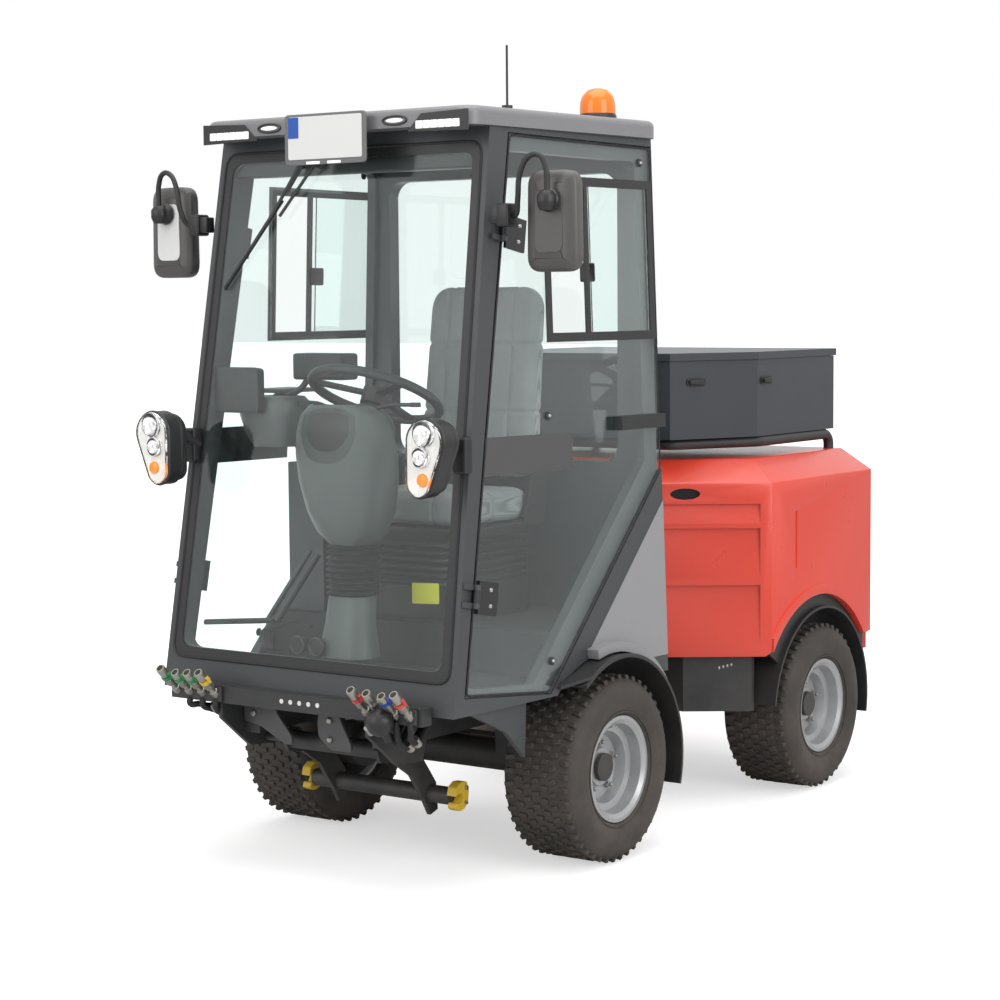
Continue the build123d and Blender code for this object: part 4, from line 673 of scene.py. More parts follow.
# ROOF FRONT
# The grey roof moulding has black slanted recesses at its front corners that hold white LED work
# lamps, and an oval marker lamp in a thin rim beside each.
led_white = surface("led_white", (0.9, 0.9, 0.88), rough=0.2, tone=0.05, relief=0.05)
led_glow = led_white.node_tree.nodes["Principled BSDF"].inputs
led_glow["Emission Color"].default_value = (1, 1, 0.97, 1)
led_glow["Emission Strength"].default_value = 0.35
roof_face = -500.0
marker_x, marker_up = 209, 1968.5
recess_corners = ((441, 1987), (294, 1982), (250, 1938), (441, 1934))
for side, hand in (("right", -1), ("left", 1)):
    recess = slab([spot(hand * x, roof_face - 0.5, up) for x, up in recess_corners],
                  Vector((0, -0.003, 0)), 0.001)
    fitted(recess, f"roof_recess_{side}", "front_frame", trim_black)
    cells = []
    for i in range(6):
        low, high = sorted((hand * (279 + i * 23), hand * (300 + i * 23)))
        cells.append(block(spot(low, roof_face - 7, 1944), spot(high, roof_face - 2, 1964), 0.002))
    fitted(cells, f"roof_led_bar_{side}", "front_frame", led_white)
    marker = hand * marker_x
    oval = [(marker + 38 * cos(a), marker_up + 11 * sin(a)) for a in (2 * pi * i / 20 for i in range(20))]
    rim = tube([spot(x, roof_face - 1.5, up) for x, up in oval], 0.0026, "AUTO", True, 2)
    fitted(rim, f"marker_rim_{side}", "front_frame", trim_black)
    lens = slab([spot(marker + (x - marker) * 0.72, roof_face - 0.5, marker_up + (up - marker_up) * 0.5)
                 for x, up in oval], Vector((0, -0.003, 0)), 0.001)
    fitted(lens, f"marker_lens_{side}", "front_frame", led_white)

# NUMBER PLATE
# A pressed white plate, left blank, with its plain blue strip, in a dark grey holder that has two
# small lamps along its lower edge.
plate_white = surface("plate_white", (0.78, 0.78, 0.76), rough=0.35, tone=0.06, relief=0.03)
plate_blue = surface("plate_blue", (0.01, 0.085, 0.42), rough=0.35, tone=0.08, relief=0.03)
plate_grey = surface("plate_grey", (0.16, 0.16, 0.165), rough=0.45, tone=0.15, relief=0.12)


def standing(outline, behind, thick, soften=0.0, lean=0.0):
    """A plate that stands across the machine, thickened along it."""
    return slab([spot(x, behind, up) for x, up in outline], Vector((0, thick, lean)), soften)


holder = standing(oblong(-133, 1866, 136, 1997, 12), -521, -0.008, 0.002)
arm = block(spot(-62, -521, 1952), spot(62, -500.4, 1974), 0.002)
holder = fitted([holder, arm], "plate_frame", "front_frame", plate_grey)
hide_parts("plate_holder")
white = standing(oblong(-120, 1880, 125, 1990, 6), -529.2, -0.0014, 0.0005)
fitted(white, "plate_blank", "front_frame", plate_white)
strip = standing(oblong(-119, 1935, -84, 1989, 3), -530.7, -0.0005)
fitted(strip, "plate_strip", "front_frame", plate_blue)
bulbs = [block(spot(x - 22, -533, 1867), spot(x + 22, -529.5, 1874), 0.0015) for x in (-36, 34)]
fitted(bulbs, "plate_lamps", "front_frame", led_white)

# WIPER
# Two black arms hang from the motor under the plate and carry one long blade that rests to the
# right of the windshield.
def flat_arm(places, wide, thick):
    """A flat strip through places on the windshield, standing off the glass."""
    pieces = []
    for (x0, up0, out0), (x1, up1, out1) in zip(places, places[1:]):
        start, end = on_glass(x0, up0, out0), on_glass(x1, up1, out1)
        run = (end - start).normalized()
        half = run.cross(glass_out) * wide / 2000
        corners = [start - half, start + half, end + half, end - half]
        pieces.append(slab(corners, glass_out * thick / 1000, 0.001))
    return pieces


wiper = flat_arm([(-150, 1872, 16), (-228, 1748, 15), (-300, 1655, 12)], 9, 5)
wiper += flat_arm([(-100, 1870, 16), (-207, 1736, 15)], 8, 5)
wiper += flat_arm([(-132, 1882, 16), (-186, 1800, 15)], 6, 5)
boss = [(-0.012, 0), (-0.012, 0.012), (0.006, 0.012), (0.010, 0.008), (0.010, 0)]
for x in (-150, -100):
    wiper.append(turned(boss, on_glass(x, 1874, 16), glass_out, 24))
fitted(wiper, "wiper_arms", "front_frame", trim_black)
blade = flat_arm([(-214, 1775, 9), (-385, 1548, 9)], 7, 4)
blade += flat_arm([(-210, 1780, 1), (-388, 1544, 1)], 2.4, 8)
fitted(blade, "wiper_blade", "front_frame", seal_rubber)

# MIRRORS
# Deep plastic shells on ball joints. A bent steel tube comes up from a clamp on each front post,
# over in an arch and down to the ball.
mirror_shell = surface("mirror_shell", (0.085, 0.08, 0.078), rough=0.38, tone=0.15, fineness=500, relief=0.12)
mirror_silver, tree, bsdf = new_finish("mirror_silver")
where = node(tree, "TexCoord").outputs["Object"]
speck = node(tree, "TexNoise", sockets={"Vector": where, "Scale": 30.0, "Detail": 3.0})
tone = blend(tree, speck.outputs[0], (0.82, 0.84, 0.85, 1), (0.9, 0.91, 0.92, 1))
tree.links.new(tone, bsdf.inputs["Base Color"])
bsdf.inputs["Metallic"].default_value = 1.0
bsdf.inputs["Roughness"].default_value = 0.03
mirror_x, mirror_behind, mirror_up = 636, -413, 1706
shell_outline = rounded([(-75, -125), (75, -125), (72, 125), (-72, 125)], 40, 6)


def on_mirror(behind, wide=1.0, high=1.0):
    """The shell's outline at a depth, drawn in across and upwards."""
    along = mirror_behind + behind
    return [spot(mirror_x + x * wide, along, mirror_up + up * high) for x, up in shell_outline]


mirror = slab(on_mirror(20), Vector((0, -0.030, 0)))
edit("DESELECT")
leave_edit()
for polygon in mirror.data.polygons:
    polygon.select = polygon.normal.y < -0.9
bpy.ops.object.mode_set(mode="EDIT")
bpy.ops.mesh.inset(thickness=0.012)
bpy.ops.transform.translate(value=(0, -0.010, 0))
bpy.ops.mesh.inset(thickness=0.020)
bpy.ops.transform.translate(value=(0, -0.005, 0))
leave_edit()
soften_edges(mirror, 0.004, 3)
round_smooth(mirror, 50)
rim = tube(on_mirror(17, 0.955, 0.974), 0.0030, "VECTOR", True, 2)
pane = slab(on_mirror(20.2, 0.93, 0.96), Vector((0, 0.0015, 0)))
arm = rod([(520, -437, 1722), (548, -452, 1724), (563, -466, 1760), (574, -470, 1825), (600, -468, 1864),
           (628, -466, 1866), (645, -464, 1838), (648, -463, 1790), (648, -463, 1742)], 0.0072)
ball = turned([(-0.026, 0), (-0.026, 0.017), (-0.010, 0.024), (0.010, 0.024), (0.022, 0.015), (0.022, 0)],
              spot(646, -462, 1757), (0, 0, 1), 32)
socket = turned([(0, 0), (0, 0.030), (0.010, 0.024), (0.018, 0.014), (0.018, 0)],
                spot(640, -445, 1757), (0, -1, 0), 32)
clamp = block(spot(499, -470, 1694), spot(534, -420, 1752), 0.006, 3)
clamp_foot = block(spot(474, -462, 1702), spot(502, -428, 1744), 0.003)
fixed = joined([ball, socket, clamp, clamp_foot], "mirror_joint")
round_smooth(fixed, 45)
face_plate = slab(on_mirror(-24.8, 0.55, 0.62), Vector((0, -0.0022, 0)), 0.0008)
for piece in fitted_pair(mirror, "mirror_{}_shell", "front_frame", mirror_shell):
    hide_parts("mirrors")
for piece, name in ((rim, "rim"), (arm, "arm"), (fixed, "joint")):
    fitted_pair(piece, "mirror_{}_" + name, "front_frame", trim_black)
fitted_pair(pane, "mirror_{}_pane", "front_frame", mirror_silver)
fitted(mirrored_twin(face_plate), "mirror_right_face", "front_frame", plate_white)
fitted(face_plate, "mirror_left_face", "front_frame", mirror_shell)

# HEAD LAMPS
# Black kidney-shaped housings on arms at the front posts. Behind each clear lens sit two chrome
# reflectors and the amber turn signal.
lens_clear = make_glass("lens_clear", (0.95, 0.95, 0.95))
lamp_chrome = surface("lamp_chrome", (0.8, 0.8, 0.8), rough=0.12, tone=0.15, fineness=80, relief=0.3,
                      Metallic=1.0)
lamp_amber = surface("lamp_amber", (0.95, 0.3, 0.02), rough=0.2, tone=0.1, relief=0.1)
lamp_pale = surface("lamp_pale", (0.75, 0.74, 0.70), rough=0.25, tone=0.2, fineness=90, relief=0.6)


lamp_x, lamp_up = 448, 1128


def kidney(shrink, behind):
    """The lamp's outline: a large round above, a small one below and in, shrunk by a margin."""
    path = []
    for first, last, x, up, radius in ((-20, 181, 4, 40, 58), (184, 337, -14, -58, 40)):
        for a in range(first, last, 12):
            path.append((x + (radius - shrink) * cos(radians(a)), up + (radius - shrink) * sin(radians(a))))
    return [spot(lamp_x + x, behind, lamp_up + up) for x, up in path]


case = slab(kidney(0, -664), Vector((0, -0.044, 0)))
back = slab(kidney(8, -664.5), Vector((0, 0.040, 0)), 0.016, 4)
rim = tube(kidney(2.5, -708), 0.0045, "VECTOR", True, 2)
case = joined([case, back, rim], "case")
round_smooth(case, 40)
inner = slab(kidney(6, -708.3), Vector((0, -0.0012, 0)))
bowls = []
bulb = [(0, 0), (0, 0.006), (0.006, 0.0075), (0.0085, 0.004), (0.0085, 0)]
for x, up, r in ((4, 62, 0.032), (-6, 4, 0.026)):
    at = spot(lamp_x + x, -709, lamp_up + up)
    bowl = [(0.0015, 0), (0.0015, r * 0.5), (0.006, r * 0.92), (0.008, r), (0.006, r * 1.05),
            (0, r * 1.05), (0, 0)]
    bowls.append(turned(bowl, at, (0, -1, 0), 40))
    bowls.append(turned(bulb, at, (0, -1, 0), 20))
bowls = joined(bowls, "bowls")
signal = turned([(0, 0), (0, 0.017), (0.006, 0.015), (0.009, 0.006), (0.0092, 0)],
                spot(lamp_x - 2, -709, lamp_up - 52), (0, -1, 0), 32)
lens = slab(kidney(4, -711), Vector((0, -0.009, 0)), 0.003, 3)
for piece in (bowls, signal, lens):
    round_smooth(piece, 50)
mount = joined([rod([(448, -640, 1150), (446, -590, 1150), (440, -548, 1128)], 0.014),
                block(spot(432, -575, 1082), spot(474, -541, 1174), 0.006)], "mount")
for piece in fitted_pair(case, "head_lamp_{}_case", "front_frame", trim_black):
    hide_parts("work_lamps")
for piece, name, slot, finish in (
    (inner, "inner", "lamp_clear", lamp_pale), (bowls, "reflectors", "lamp_clear", lamp_chrome),
    (signal, "signal", "beacon_amber", lamp_amber), (lens, "lens", "lamp_clear", lens_clear),
    (mount, "mount", "black_plastic", trim_black),
):
    fitted_pair(piece, "head_lamp_{}_" + name, "front_frame", finish)

# RED BODY
# One thick moulded cover whose upper and corner edges are well rounded. Each slanted front corner
# face has a black oval air intake with bars.
def merged_copy(name):
    """A part's own mesh with its corners welded and flat faces whole again."""
    piece = copied(cad[name], Matrix.Identity(4))
    put_away()
    piece.select_set(True)
    bpy.context.view_layer.objects.active = piece
    edit()
    bpy.ops.mesh.remove_doubles(threshold=0.00005)
    bpy.ops.mesh.dissolve_limited(angle_limit=radians(1.0))
    leave_edit()
    return piece


hood = merged_copy("rear_hood")
weights = hood.data.attributes.new("bevel_weight_edge", "FLOAT", "EDGE")
faces_at = {}
for polygon in hood.data.polygons:
    for key in polygon.edge_keys:
        faces_at.setdefault(key, []).append(polygon)
for edge in hood.data.edges:
    ends = [hood.data.vertices[i].co for i in edge.vertices]
    sides = faces_at.get(edge.key, [])
    if len(sides) == 2:
        turn = sides[0].normal.angle(sides[1].normal, 0.0)
        middle = (ends[0] + ends[1]) / 2
        out = sides[0].normal + sides[1].normal
        outward = out.z > -0.2 and (out.x * middle.x > 0.0 or out.z > 0.5) and middle.z > 0.9
        if turn > radians(12):
            weights.data[edge.index].value = 1.0 if outward and middle.z > 0.955 else 0.2
bevel = hood.modifiers.new("moulded", "BEVEL")
bevel.width = 0.020
bevel.segments = 4
bevel.limit_method = "WEIGHT"
bevel.use_clamp_overlap = True
bpy.context.view_layer.objects.active = hood
bpy.ops.object.modifier_apply(modifier="moulded")
round_smooth(hood, 32)
fitted(hood, "red_body", "rear_frame", body_red)
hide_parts("rear_hood")


angled_out = Vector((0.5677, -0.8233, 0))
angled_along = Vector((0.8233, 0.5677, 0))


def on_angled(run, up, out):
    """A place on the body's angled left face: along it from the nose, height, and outwards."""
    return (Vector((231, 237, up)) + angled_along * run + angled_out * out) / 1000


oval = [(150 + 49 * cos(2 * pi * i / 28), 936 + 21 * sin(2 * pi * i / 28)) for i in range(28)]
dish = slab([on_angled(a, u, -21) for a, u in oval], angled_out * -0.010)
fitted_pair(dish, "intake_tray_{}", "rear_frame", trim_black)
bars = []
for low in range(921, 950, 7):
    corners = ((108, low), (192, low), (192, low + 2), (108, low + 2))
    bars.append(slab([on_angled(a, u, -16) for a, u in corners], angled_out * 0.006))
fitted_pair(joined(bars, "bars"), "intake_bars_{}", "rear_frame", trim_black)

# STORAGE BOX FITTINGS
# The box is folded dark sheet. Two black paddle latches hold its lid on each side, one on the slanted
# corner face and one on the long side.
latches = []
for start, run, out in (((355.0, 384.0), Vector((0.4219, 0.9068, 0)), Vector((0.9068, -0.4219, 0))),
                        ((450.0, 640.0), Vector((0, 1, 0)), Vector((1, 0, 0)))):
    middle = Vector((start[0], start[1], 1265)) / 1000
    foot = oblong(-0.034, -0.012, 0.034, 0.012, 0.009)
    paddle = rounded([(-0.028, -0.006), (0.018, -0.009), (0.018, 0.009), (-0.028, 0.006)], 0.004)
    latches.append(slab([middle + run * a + Vector((0, 0, u)) for a, u in foot], out * 0.004, 0.0012))
    grip = [middle + run * a + Vector((0, 0, u)) + out * 0.004 for a, u in paddle]
    latches.append(slab(grip, out * 0.010, 0.003))
fitted_pair(joined(latches, "latches"), "box_latches_{}", "rear_frame", trim_black)

# TANK RIVETS
# Four bright domed rivets of zinc-plated steel stand in a row on the outside of each black side
# tank.
rivet = [(0, 0), (0, 0.0048), (0.0015, 0.0042), (0.0024, 0.002), (0.0026, 0)]
rivets = [turned(rivet, spot(500, along, 437), (1, 0, 0), 16) for along in (640, 664, 688, 712)]
rivets = joined(rivets, "rivets")
round_smooth(rivets, 50)
fitted_pair(rivets, "tank_rivets_{}", "rear_frame", nut_steel)

# FENDER BEADS
# The black plastic wings over the front tyres end in a rolled bead, which follows the wheel arch
# along its outer edge.
for side, hand in (("left", 1), ("right", -1)):
    arc = [Vector((hand * 0.5705, -0.370 + 0.3085 * cos(radians(a)), 0.254 + 0.3085 * sin(radians(a))))
           for a in range(-16, 122, 6)]
    fitted(tube(arc, 0.0044), f"fender_bead_{side}", "front_frame", trim_black)

# SEAT
# A suspension seat: woven grey cloth over foam, puffed between its sewn channels, on a base that a
# black rubber bellows covers.
cloth_grey, tree, bsdf = new_finish("cloth_grey")
where = node(tree, "TexCoord").outputs["Object"]
weave = []
for turn in ((0, 0, 0), (0, pi / 2, 0), (pi / 2, 0, 0)):
    turned_way = node(tree, "Mapping", sockets={"Vector": where, "Rotation": turn})
    thread = node(tree, "TexWave", wave_type="BANDS", bands_direction="X",
                  sockets={"Vector": turned_way.outputs[0], "Scale": 160.0, "Distortion": 0.6, "Detail": 1.0})
    weave.append(thread.outputs["Fac"])
knit = node(tree, "Math", operation="MULTIPLY", sockets={0: weave[0], 1: weave[1]})
knit = node(tree, "Math", operation="ADD", sockets={0: knit.outputs[0], 1: weave[2]})
worn = node(tree, "TexNoise", sockets={"Vector": where, "Scale": 11.0, "Detail": 5.0})
# The cloth's grey is lifted above its own tone to stand in for the haze that the glass in front reflects over
# the seat: partly the cloth's colour, partly painted reflection.
tone = blend(tree, worn.outputs[0], (0.19, 0.195, 0.2, 1), (0.28, 0.285, 0.29, 1))
tone = blend(tree, knit.outputs[0], (0.11, 0.113, 0.116, 1), tone)
tree.links.new(tone, bsdf.inputs["Base Color"])
bump = node(tree, "Bump", sockets={"Strength": 0.35, "Distance": 0.0006, "Height": knit.outputs[0]})
tree.links.new(bump.outputs[0], bsdf.inputs["Normal"])
bsdf.inputs["Roughness"].default_value = 0.85
bsdf.inputs["Sheen Weight"].default_value = 0.25


def puffed(piece, cap):
    """The piece as a filled cover: meshed evenly, blown up as cloth and smoothed."""
    bpy.context.view_layer.objects.active = piece
    even = piece.modifiers.new("even", "REMESH")
    even.mode = "VOXEL"
    even.voxel_size = 0.006
    bpy.ops.object.modifier_apply(modifier="even")
    flat = [corner.co.copy() for corner in piece.data.vertices]
    cover = piece.modifiers.new("cover", "CLOTH")
    cover.settings.use_pressure = True
    cover.settings.uniform_pressure_force = 4.0
    cover.settings.effector_weights.gravity = 0.0
    for moment in range(1, 21):
        bpy.context.scene.frame_set(moment)
    bpy.ops.object.modifier_apply(modifier="cover")
    bpy.context.scene.frame_set(1)
    for corner, before in zip(piece.data.vertices, flat):
        move = corner.co - before
        if move.length > cap:
            corner.co = before + move * (cap / move.length)
    calm = piece.modifiers.new("calm", "SMOOTH")
    calm.factor = 0.5
    calm.iterations = 5
    bpy.ops.object.modifier_apply(modifier="calm")
    finer = piece.modifiers.new("finer", "SUBSURF")
    finer.levels = 1
    bpy.ops.object.modifier_apply(modifier="finer")
    round_smooth(piece, 180)
    return piece


def channelled(piece, lines, depth, half_wide):
    """Sew channels: press the skin in along straight lines given as (axis, place)."""
    ways_out = [corner.normal.copy() for corner in piece.data.vertices]
    for corner, way_out in zip(piece.data.vertices, ways_out):
        push = 0.0
        for axis, place in lines:
            push = max(push, depth * 2.718 ** (-(((corner.co[axis] - place) / half_wide) ** 2)))
        corner.co -= way_out * push


cushion = slab([spot(x, along, 912) for x, along in oblong(-203, -228, 203, 126, 55)],
               Vector((0, 0, 0.072)), 0.014, 3)
puffed(cushion, 0.009)
channelled(cushion, ((0, -0.105), (0, 0.105), (1, -0.44)), 0.005, 0.006)
fitted(cushion, "seat_cushion_cover", "front_frame", cloth_grey)
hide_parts("seat_cushion")
lean = Vector((0, 0.1106, 0.9939))
away = Vector((0, 0.9939, -0.1106))
foot_of_back = spot(0, 112, 1012)
outline = rounded([(-203, 0), (203, 0), (190, 550), (-190, 550)], 75, 6)
backrest = slab([foot_of_back + Vector((x / 1000, 0, 0)) + lean * up / 1000 for x, up in outline],
                away * 0.052, 0.016, 3)
puffed(backrest, 0.008)
channelled(backrest, ((0, -0.11), (0, 0.11), (2, 1.20), (2, 1.39)), 0.005, 0.006)
fitted(backrest, "seat_back_cover", "front_frame", cloth_grey)
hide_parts("seat_back")
folds = []
for up in range(752, 858, 21):
    fold = oblong(-173, -243, 173, 123, 20, 3)
    folds.append(tube([spot(x, along, up) for x, along in fold], 0.0085, "VECTOR", True, 3))
fitted(folds, "seat_bellows", "front_frame", seal_rubber)

# STEERING COLUMN
# A broad moulded pod carries the wheel. Below it a rubber bellows lets the column tilt, and a wide
# foot stands on the floor beside the pedals.
def lofted(rings, steps=40, power=2.6):
    """A closed skin through level rings of (x, behind, up, half across, half along)."""
    put_away()
    bpy.ops.mesh.primitive_grid_add(x_subdivisions=steps, y_subdivisions=len(rings) - 1)
    piece = bpy.context.object
    for j, (x, along, up, wide, long) in enumerate(rings):
        for i in range(steps + 1):
            a = 2 * pi * i / steps
            c, s = cos(a), sin(a)
            piece.data.vertices[j * (steps + 1) + i].co = spot(
                x + wide * abs(c) ** (2 / power) * (1 if c > 0 else -1),
                along + long * abs(s) ** (2 / power) * (1 if s > 0 else -1), up)
    edit()
    bpy.ops.mesh.remove_doubles(threshold=0.00001)
    bpy.ops.mesh.select_all(action="DESELECT")
    bpy.ops.mesh.select_non_manifold()
    bpy.ops.mesh.fill_holes(sides=0)
    bpy.ops.mesh.select_all(action="SELECT")
    bpy.ops.mesh.normals_make_consistent(inside=False)
    leave_edit()
    round_smooth(piece, 50)
    return piece


pod_grey = surface("pod_grey", (0.072, 0.08, 0.078), rough=0.42, tone=0.12, fineness=700, relief=0.08)
pod = lofted([(5, -432, 872, 62, 58), (5, -436, 905, 96, 74), (5, -442, 960, 122, 86),
              (5, -450, 1040, 141, 92), (5, -458, 1110, 146, 90), (5, -466, 1170, 140, 80),
              (5, -474, 1215, 124, 64), (5, -480, 1240, 96, 40)])
fitted(pod, "column_pod", "front_frame", pod_grey)
ribs = [(-0.064 + k * 0.0155 + d, 0.076 - (0.011 if d else 0.0) - abs(k - 4) * 0.0008)
        for k in range(9) for d in (0, 0.0078)]
ribs = [(ribs[0][0], 0.0)] + ribs + [(ribs[-1][0], 0.0)]
bellows = turned(ribs, spot(0, -428, 806), (0, 0, 1), 48)
round_smooth(bellows, 30)
fitted(bellows, "column_bellows", "front_frame", seal_rubber)
foot = lofted([(0, -452, 574, 84, 62), (0, -450, 600, 80, 60), (0, -444, 660, 68, 54),
               (0, -434, 735, 62, 52)])
fitted(foot, "column_foot", "front_frame", pod_grey)
rings = []
for x in (-121, -57):
    circle = [(x + 23 * cos(2 * pi * i / 12), 600 + 23 * sin(2 * pi * i / 12)) for i in range(12)]
    rings.append(tube([spot(over, -520, up) for over, up in circle], 0.0045, "AUTO", True, 2))
    rings.append(turned([(0, 0), (0, 0.021), (0.028, 0.021), (0.028, 0)], spot(x, -494, 600), (0, -1, 0), 32))
fitted(rings, "pedal_rings", "front_frame", trim_black)
levers = []
for hand in (-1, 1):
    levers.append(rod([(hand * 60, -430, 1225), (hand * 120, -418, 1240), (hand * 176, -400, 1242)], 0.0055))
    levers.append(lofted([(hand * 188, -397, 1236, 16, 10), (hand * 188, -397, 1248, 15, 9)], 20))
fitted(levers, "column_stalks", "front_frame", trim_black)

# DASH AND SIDE CONSOLE
# Right of the wheel stand the console's bowl, a tilted monitor and a switch box, with the bars
# that hold them and a bundle of cables.
screen_dark = surface("screen_dark", (0.012, 0.014, 0.017), rough=0.12, tone=0.1, fineness=200, relief=0.01)
dash = [lofted([(-300, -372, 1120, 70, 60), (-300, -376, 1160, 88, 76), (-302, -380, 1205, 98, 84),
                (-304, -384, 1240, 96, 82), (-306, -386, 1256, 84, 70)])]
dash.append(block(spot(-404, -352, 1262), spot(-300, -210, 1274), 0.004))
fitted(dash, "console_bowl", "front_frame", pod_grey)
monitor = standing(oblong(-428, 1212, -264, 1334, 12), -470, -0.030, 0.004, 0.004)
fitted(monitor, "monitor", "front_frame", trim_black)
panel = standing(oblong(-416, 1224, -276, 1322, 6), -469.5, 0.0012)
fitted(panel, "monitor_screen", "front_frame", screen_dark)
stand = [rod([(-346, -452, 1270), (-346, -428, 1250), (-330, -420, 1200)], 0.010),
         block(spot(-372, -470, 1250), spot(-320, -446, 1292), 0.004)]
fitted(stand, "monitor_stand", "front_frame", trim_black)
switch_box = block(spot(-268, -352, 1300), spot(-92, -280, 1372), 0.008, 3)
fitted(switch_box, "switch_box", "front_frame", trim_black)
box_leg = rod([(-240, -318, 1302), (-256, -330, 1275), (-290, -350, 1255)], 0.009)
fitted(box_leg, "switch_box_leg", "front_frame", trim_black)
frame_bars = [rod([(-488, -480, 632), (-236, -480, 655)], 0.008, "VECTOR"),
              rod([(-146, -400, 833), (-228, -480, 655)], 0.011, "VECTOR"),
              rod([(-176, -395, 840), (-262, -476, 655)], 0.007, "VECTOR")]
fitted(frame_bars, "console_bars", "front_frame", trim_black)
wires = [rod([(-262 + k * 9, -486, 575), (-286 + k * 8, -476 + k * 2, 612), (-250 + k * 10, -470, 640),
              (-200 + k * 5, -455, 655), (-140, -446 + k * 4, 640)], 0.0042) for k in range(4)]
fitted(wires, "floor_cables", "front_frame", seal_rubber)
tag_yellow = surface("tag_yellow", (0.72, 0.68, 0.05), rough=0.45, tone=0.15, fineness=200, relief=0.03)
pouch = standing(rounded([(60, 696), (150, 700), (150, 756), (60, 752)], 4), -251.5, -0.0015)
fitted(pouch, "blank_yellow_patch", "front_frame", tag_yellow)

# COUPLERS AND HOSES
# Steel hydraulic couplings lean out of a plate at each end of the beam, with coloured dust-cap
# rings, a black gas ball on the left bank and short hoses that turn back under the cab.
fitting_steel = surface("fitting_steel", (0.42, 0.40, 0.36), rough=0.34, tone=0.6, fineness=200,
                        relief=0.25, Metallic=0.9)
lean_out = (spot(0, -779, 560) - spot(0, -698, 480)).normalized()


def coupler_foot(x):
    """Where a coupler leaves its plate."""
    return spot(x, -697, 481)


def coupling(x, length):
    """One coupling from its hexagon foot to its knurled sleeve and open mouth."""
    foot = coupler_foot(x)
    sleeve = [(0.012, 0), (0.012, 0.0085), (0.034, 0.0085), (0.035, 0.0125)]
    for k in range(5):
        along = 0.036 + k * 0.0034
        sleeve += [(along, 0.0130), (along + 0.0022, 0.0130)]
        sleeve += [(along + 0.0024, 0.0121), (along + 0.0032, 0.0121)]
    sleeve += [(0.056, 0.0105), (length - 0.030, 0.0105), (length - 0.028, 0.0128), (length - 0.004, 0.0128),
               (length, 0.0115), (length, 0.0085), (length - 0.012, 0.008), (length - 0.012, 0)]
    hexagon = turned([(0, 0), (0, 0.0122), (0.016, 0.0122), (0.018, 0.0102), (0.018, 0)], foot, lean_out, 6)
    body = turned(sleeve, foot, lean_out, 32)
    round_smooth(body, 30)
    return [hexagon, body]


for side, hand in (("left", 1), ("right", -1)):
    metal = []
    for x, length in ((255, 0.099), (300, 0.092), (345, 0.087), (390, 0.099)):
        metal += coupling(hand * x, length)
    bank = fitted(metal, f"couplings_{side}", "front_frame", fitting_steel)
    low, high = sorted((hand * 236, hand * 409))
    plate = block(spot(low, -702, 463), spot(high, -692.2, 503), 0.003)
    fitted(plate, f"coupling_plate_{side}", "front_frame", chassis_black)
    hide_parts("coupler_banks")
ring_at = 0.0575
ring = [(ring_at, 0.0107), (ring_at, 0.0148), (ring_at + 0.010, 0.0148), (ring_at + 0.010, 0.0107)]
hinge_pin = [(-0.006, 0), (-0.006, 0.004), (0.014, 0.004), (0.014, 0)]
for label, colour, places in (
    ("green", (0.03, 0.28, 0.09), (-390, -345, -300)), ("yellow", (0.75, 0.5, 0.03), (-255,)),
    ("red", (0.62, 0.07, 0.06), (255, 390)), ("blue", (0.02, 0.08, 0.45), (345,)),
):
    cap = surface(f"cap_{label}", colour, rough=0.4, tone=0.2, fineness=300, relief=0.08)
    rings = []
    for x in places:
        rings.append(turned(ring, coupler_foot(x), lean_out, 32))
        hinge = coupler_foot(x) + lean_out * (ring_at + 0.006) + Vector((0.0165, 0, 0))
        rings.append(turned(hinge_pin, hinge, lean_out, 12))
    rings = joined(rings, "rings")
    round_smooth(rings, 40)
    fitted(rings, f"cap_rings_{label}", "front_frame", cap)
ball = [(-0.036 * cos(pi * k / 14), 0.036 * sin(pi * k / 14)) for k in range(15)]
ball_centre, ball_way = spot(322, -735, 470), (0, -0.6, 0.8)
ball = turned(ball, ball_centre, ball_way, 40)
neck = turned([(-0.062, 0), (-0.062, 0.012), (-0.034, 0.012), (-0.034, 0)], ball_centre, ball_way, 24)
gas = joined([ball, neck], "gas")
round_smooth(gas, 40)
fitted(gas, "gas_ball", "front_frame", trim_black)
hose_radius = 0.0085
hoses = []
for x, sink, reach in ((255, 418, 300), (300, 405, 318), (345, 398, 352), (390, 412, 372)):
    hoses.append(rod([(x, -700, 468), (x + 2, -700, 448), ((x + reach) / 2, -684, sink + 12),
                      (reach, -650, sink), (reach - 16, -604, sink + 16),
                      (reach - 22, -560, sink + 52)], hose_radius))
for x, sink, reach in ((-255, 425, -262), (-300, 432, -286), (-345, 440, -318)):
    hoses.append(rod([(x, -700, 468), (x, -700, 450), ((x + reach) / 2, -682, sink + 8),
                      (reach, -645, sink), (reach + 6, -600, sink + 22),
                      (reach + 10, -560, sink + 55)], hose_radius))
fitted(hoses, "front_hoses", "front_frame", seal_rubber)
sleeves = []
sleeve = [(-0.012, 0), (-0.012, 0.0112), (0.012, 0.0112), (0.012, 0)]
for x, along, up in ((262, -700, 440), (372, -652, 413), (352, -655, 400), (-262, -690, 444)):
    sleeves.append(turned(sleeve, spot(x, along, up), (0, 0.7, -0.7), 20))
fitted(sleeves, "hose_sleeves", "front_frame", fitting_steel)
plug = [(0, 0), (0, 0.0062), (0.0012, 0.0062), (0.0012, 0)]
plugs = [turned(plug, spot(x, -692.3, 484), (0, -1, 0), 20) for x in (-34, -4, 26, 56, 86)]
fitted(plugs, "beam_plugs", "front_frame", plate_white)

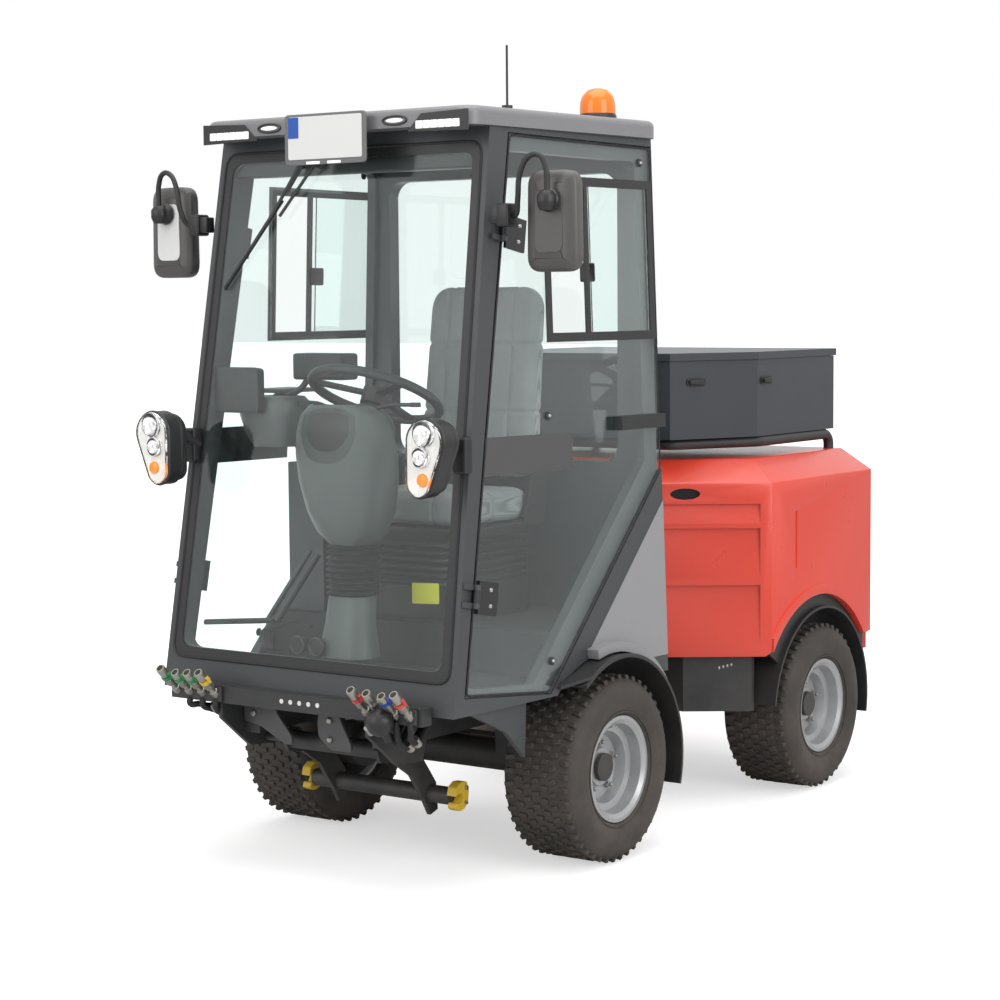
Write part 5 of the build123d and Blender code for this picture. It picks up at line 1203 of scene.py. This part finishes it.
# LINKAGE DETAILS
# Bent flat-bar brackets with hexagon bolts come down from the beam, and a yellow claw hook with two
# bolts sits at each end of the cross tube.
arm_grey = surface("arm_grey", (0.07, 0.072, 0.076), rough=0.42, tone=0.3, fineness=350, relief=0.12,
                   dust=0.35)
brackets = []
for corners in (
    [(16, 418), (30, 505), (76, 505), (84, 452), (128, 372), (128, 352), (60, 352), (20, 384)],
    [(-236, 500), (-236, 402), (-178, 392), (-96, 352), (-70, 352), (-70, 372), (-120, 430), (-150, 500)],
):
    brackets.append(standing(rounded(corners, 8), -601, -0.010, 0.002))
fitted(brackets, "beam_brackets", "front_frame", arm_grey)
hook_yellow = surface("hook_yellow", (0.78, 0.52, 0.03), rough=0.42, tone=0.3, dust=0.35)
claw = rounded([(-345, 204), (-338, 228), (-318, 240), (-292, 238), (-282, 214), (-286, 184),
                (-302, 166), (-324, 162), (-342, 172), (-336, 186), (-318, 183), (-309, 194),
                (-314, 208), (-328, 211)], 4, 3)
bolts = []
for side, hand in (("left", 1), ("right", -1)):
    hook = slab([spot(hand * 236, along, up) for along, up in claw], Vector((hand * 0.028, 0, 0)), 0.003)
    fitted(hook, f"claw_hook_{side}", "lift", hook_yellow)
    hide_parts("quick_hooks")
    for along, up, r in ((-296, 222, 7), (-298, 182, 6)):
        bolts.append(turned([(0, 0), (0, r / 1000), (0.004, r / 1000), (0.006, r / 1400), (0.006, 0)],
                            spot(hand * 264, along, up), (hand, 0, 0), 6))
fitted(bolts, "hook_bolts", "lift", fitting_steel)
bolt = [(0, 0), (0, 0.009), (0.005, 0.009), (0.008, 0.006), (0.008, 0)]
bolts = []
for x, up in ((60, 430), (60, 380), (-200, 470), (-200, 425)):
    bolts.append(turned(bolt, spot(x, -611, up), (0, -1, 0), 6))
fitted(bolts, "bracket_bolts", "front_frame", fitting_steel)

# BEACON AND TAIL LAMPS
# An amber dome with upright ribs stands on a black foot on the left of the roof. The tail lamps are
# flat red lenses.
beacon_amber = surface("beacon_amber", (0.95, 0.22, 0.01), rough=0.12, tone=0.1, relief=0.02)
dome = [(0.020, 0), (0.020, 0.049)]
for a in range(0, 61, 15):
    dome.append((0.032 + 0.044 * sin(radians(a)), 0.049 - 0.016 * (1 - cos(radians(a)))))
dome += [(0.084, 0.028), (0.089, 0.012), (0.0895, 0)]
beacon_foot = spot(370, 200, 1998)
amber = turned(dome, beacon_foot, (0, 0, 1), 48)
for corner in amber.data.vertices:
    off = corner.co - beacon_foot
    if hypot(off.x, off.y) > 0.03:
        swell = 1.0 - 0.03 * (0.5 + 0.5 * cos(24 * Vector((off.x, off.y)).angle_signed(Vector((1, 0)), 0.0)))
        corner.co.x -= off.x * (1 - swell)
        corner.co.y -= off.y * (1 - swell)
round_smooth(amber, 40)
foot = turned([(0, 0), (0, 0.052), (0.014, 0.052), (0.020, 0.048), (0.020, 0)],
              spot(370, 200, 1998.3), (0, 0, 1), 48)
round_smooth(foot, 40)
fitted(foot, "beacon_foot", "front_frame", trim_black)
fitted(amber, "beacon_dome", "front_frame", beacon_amber)
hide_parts("beacon")
lamp_red = surface("lamp_red", (0.5, 0.02, 0.015), rough=0.15, tone=0.1, fineness=90, relief=0.3)
coat(["tail_lamps"], lamp_red)
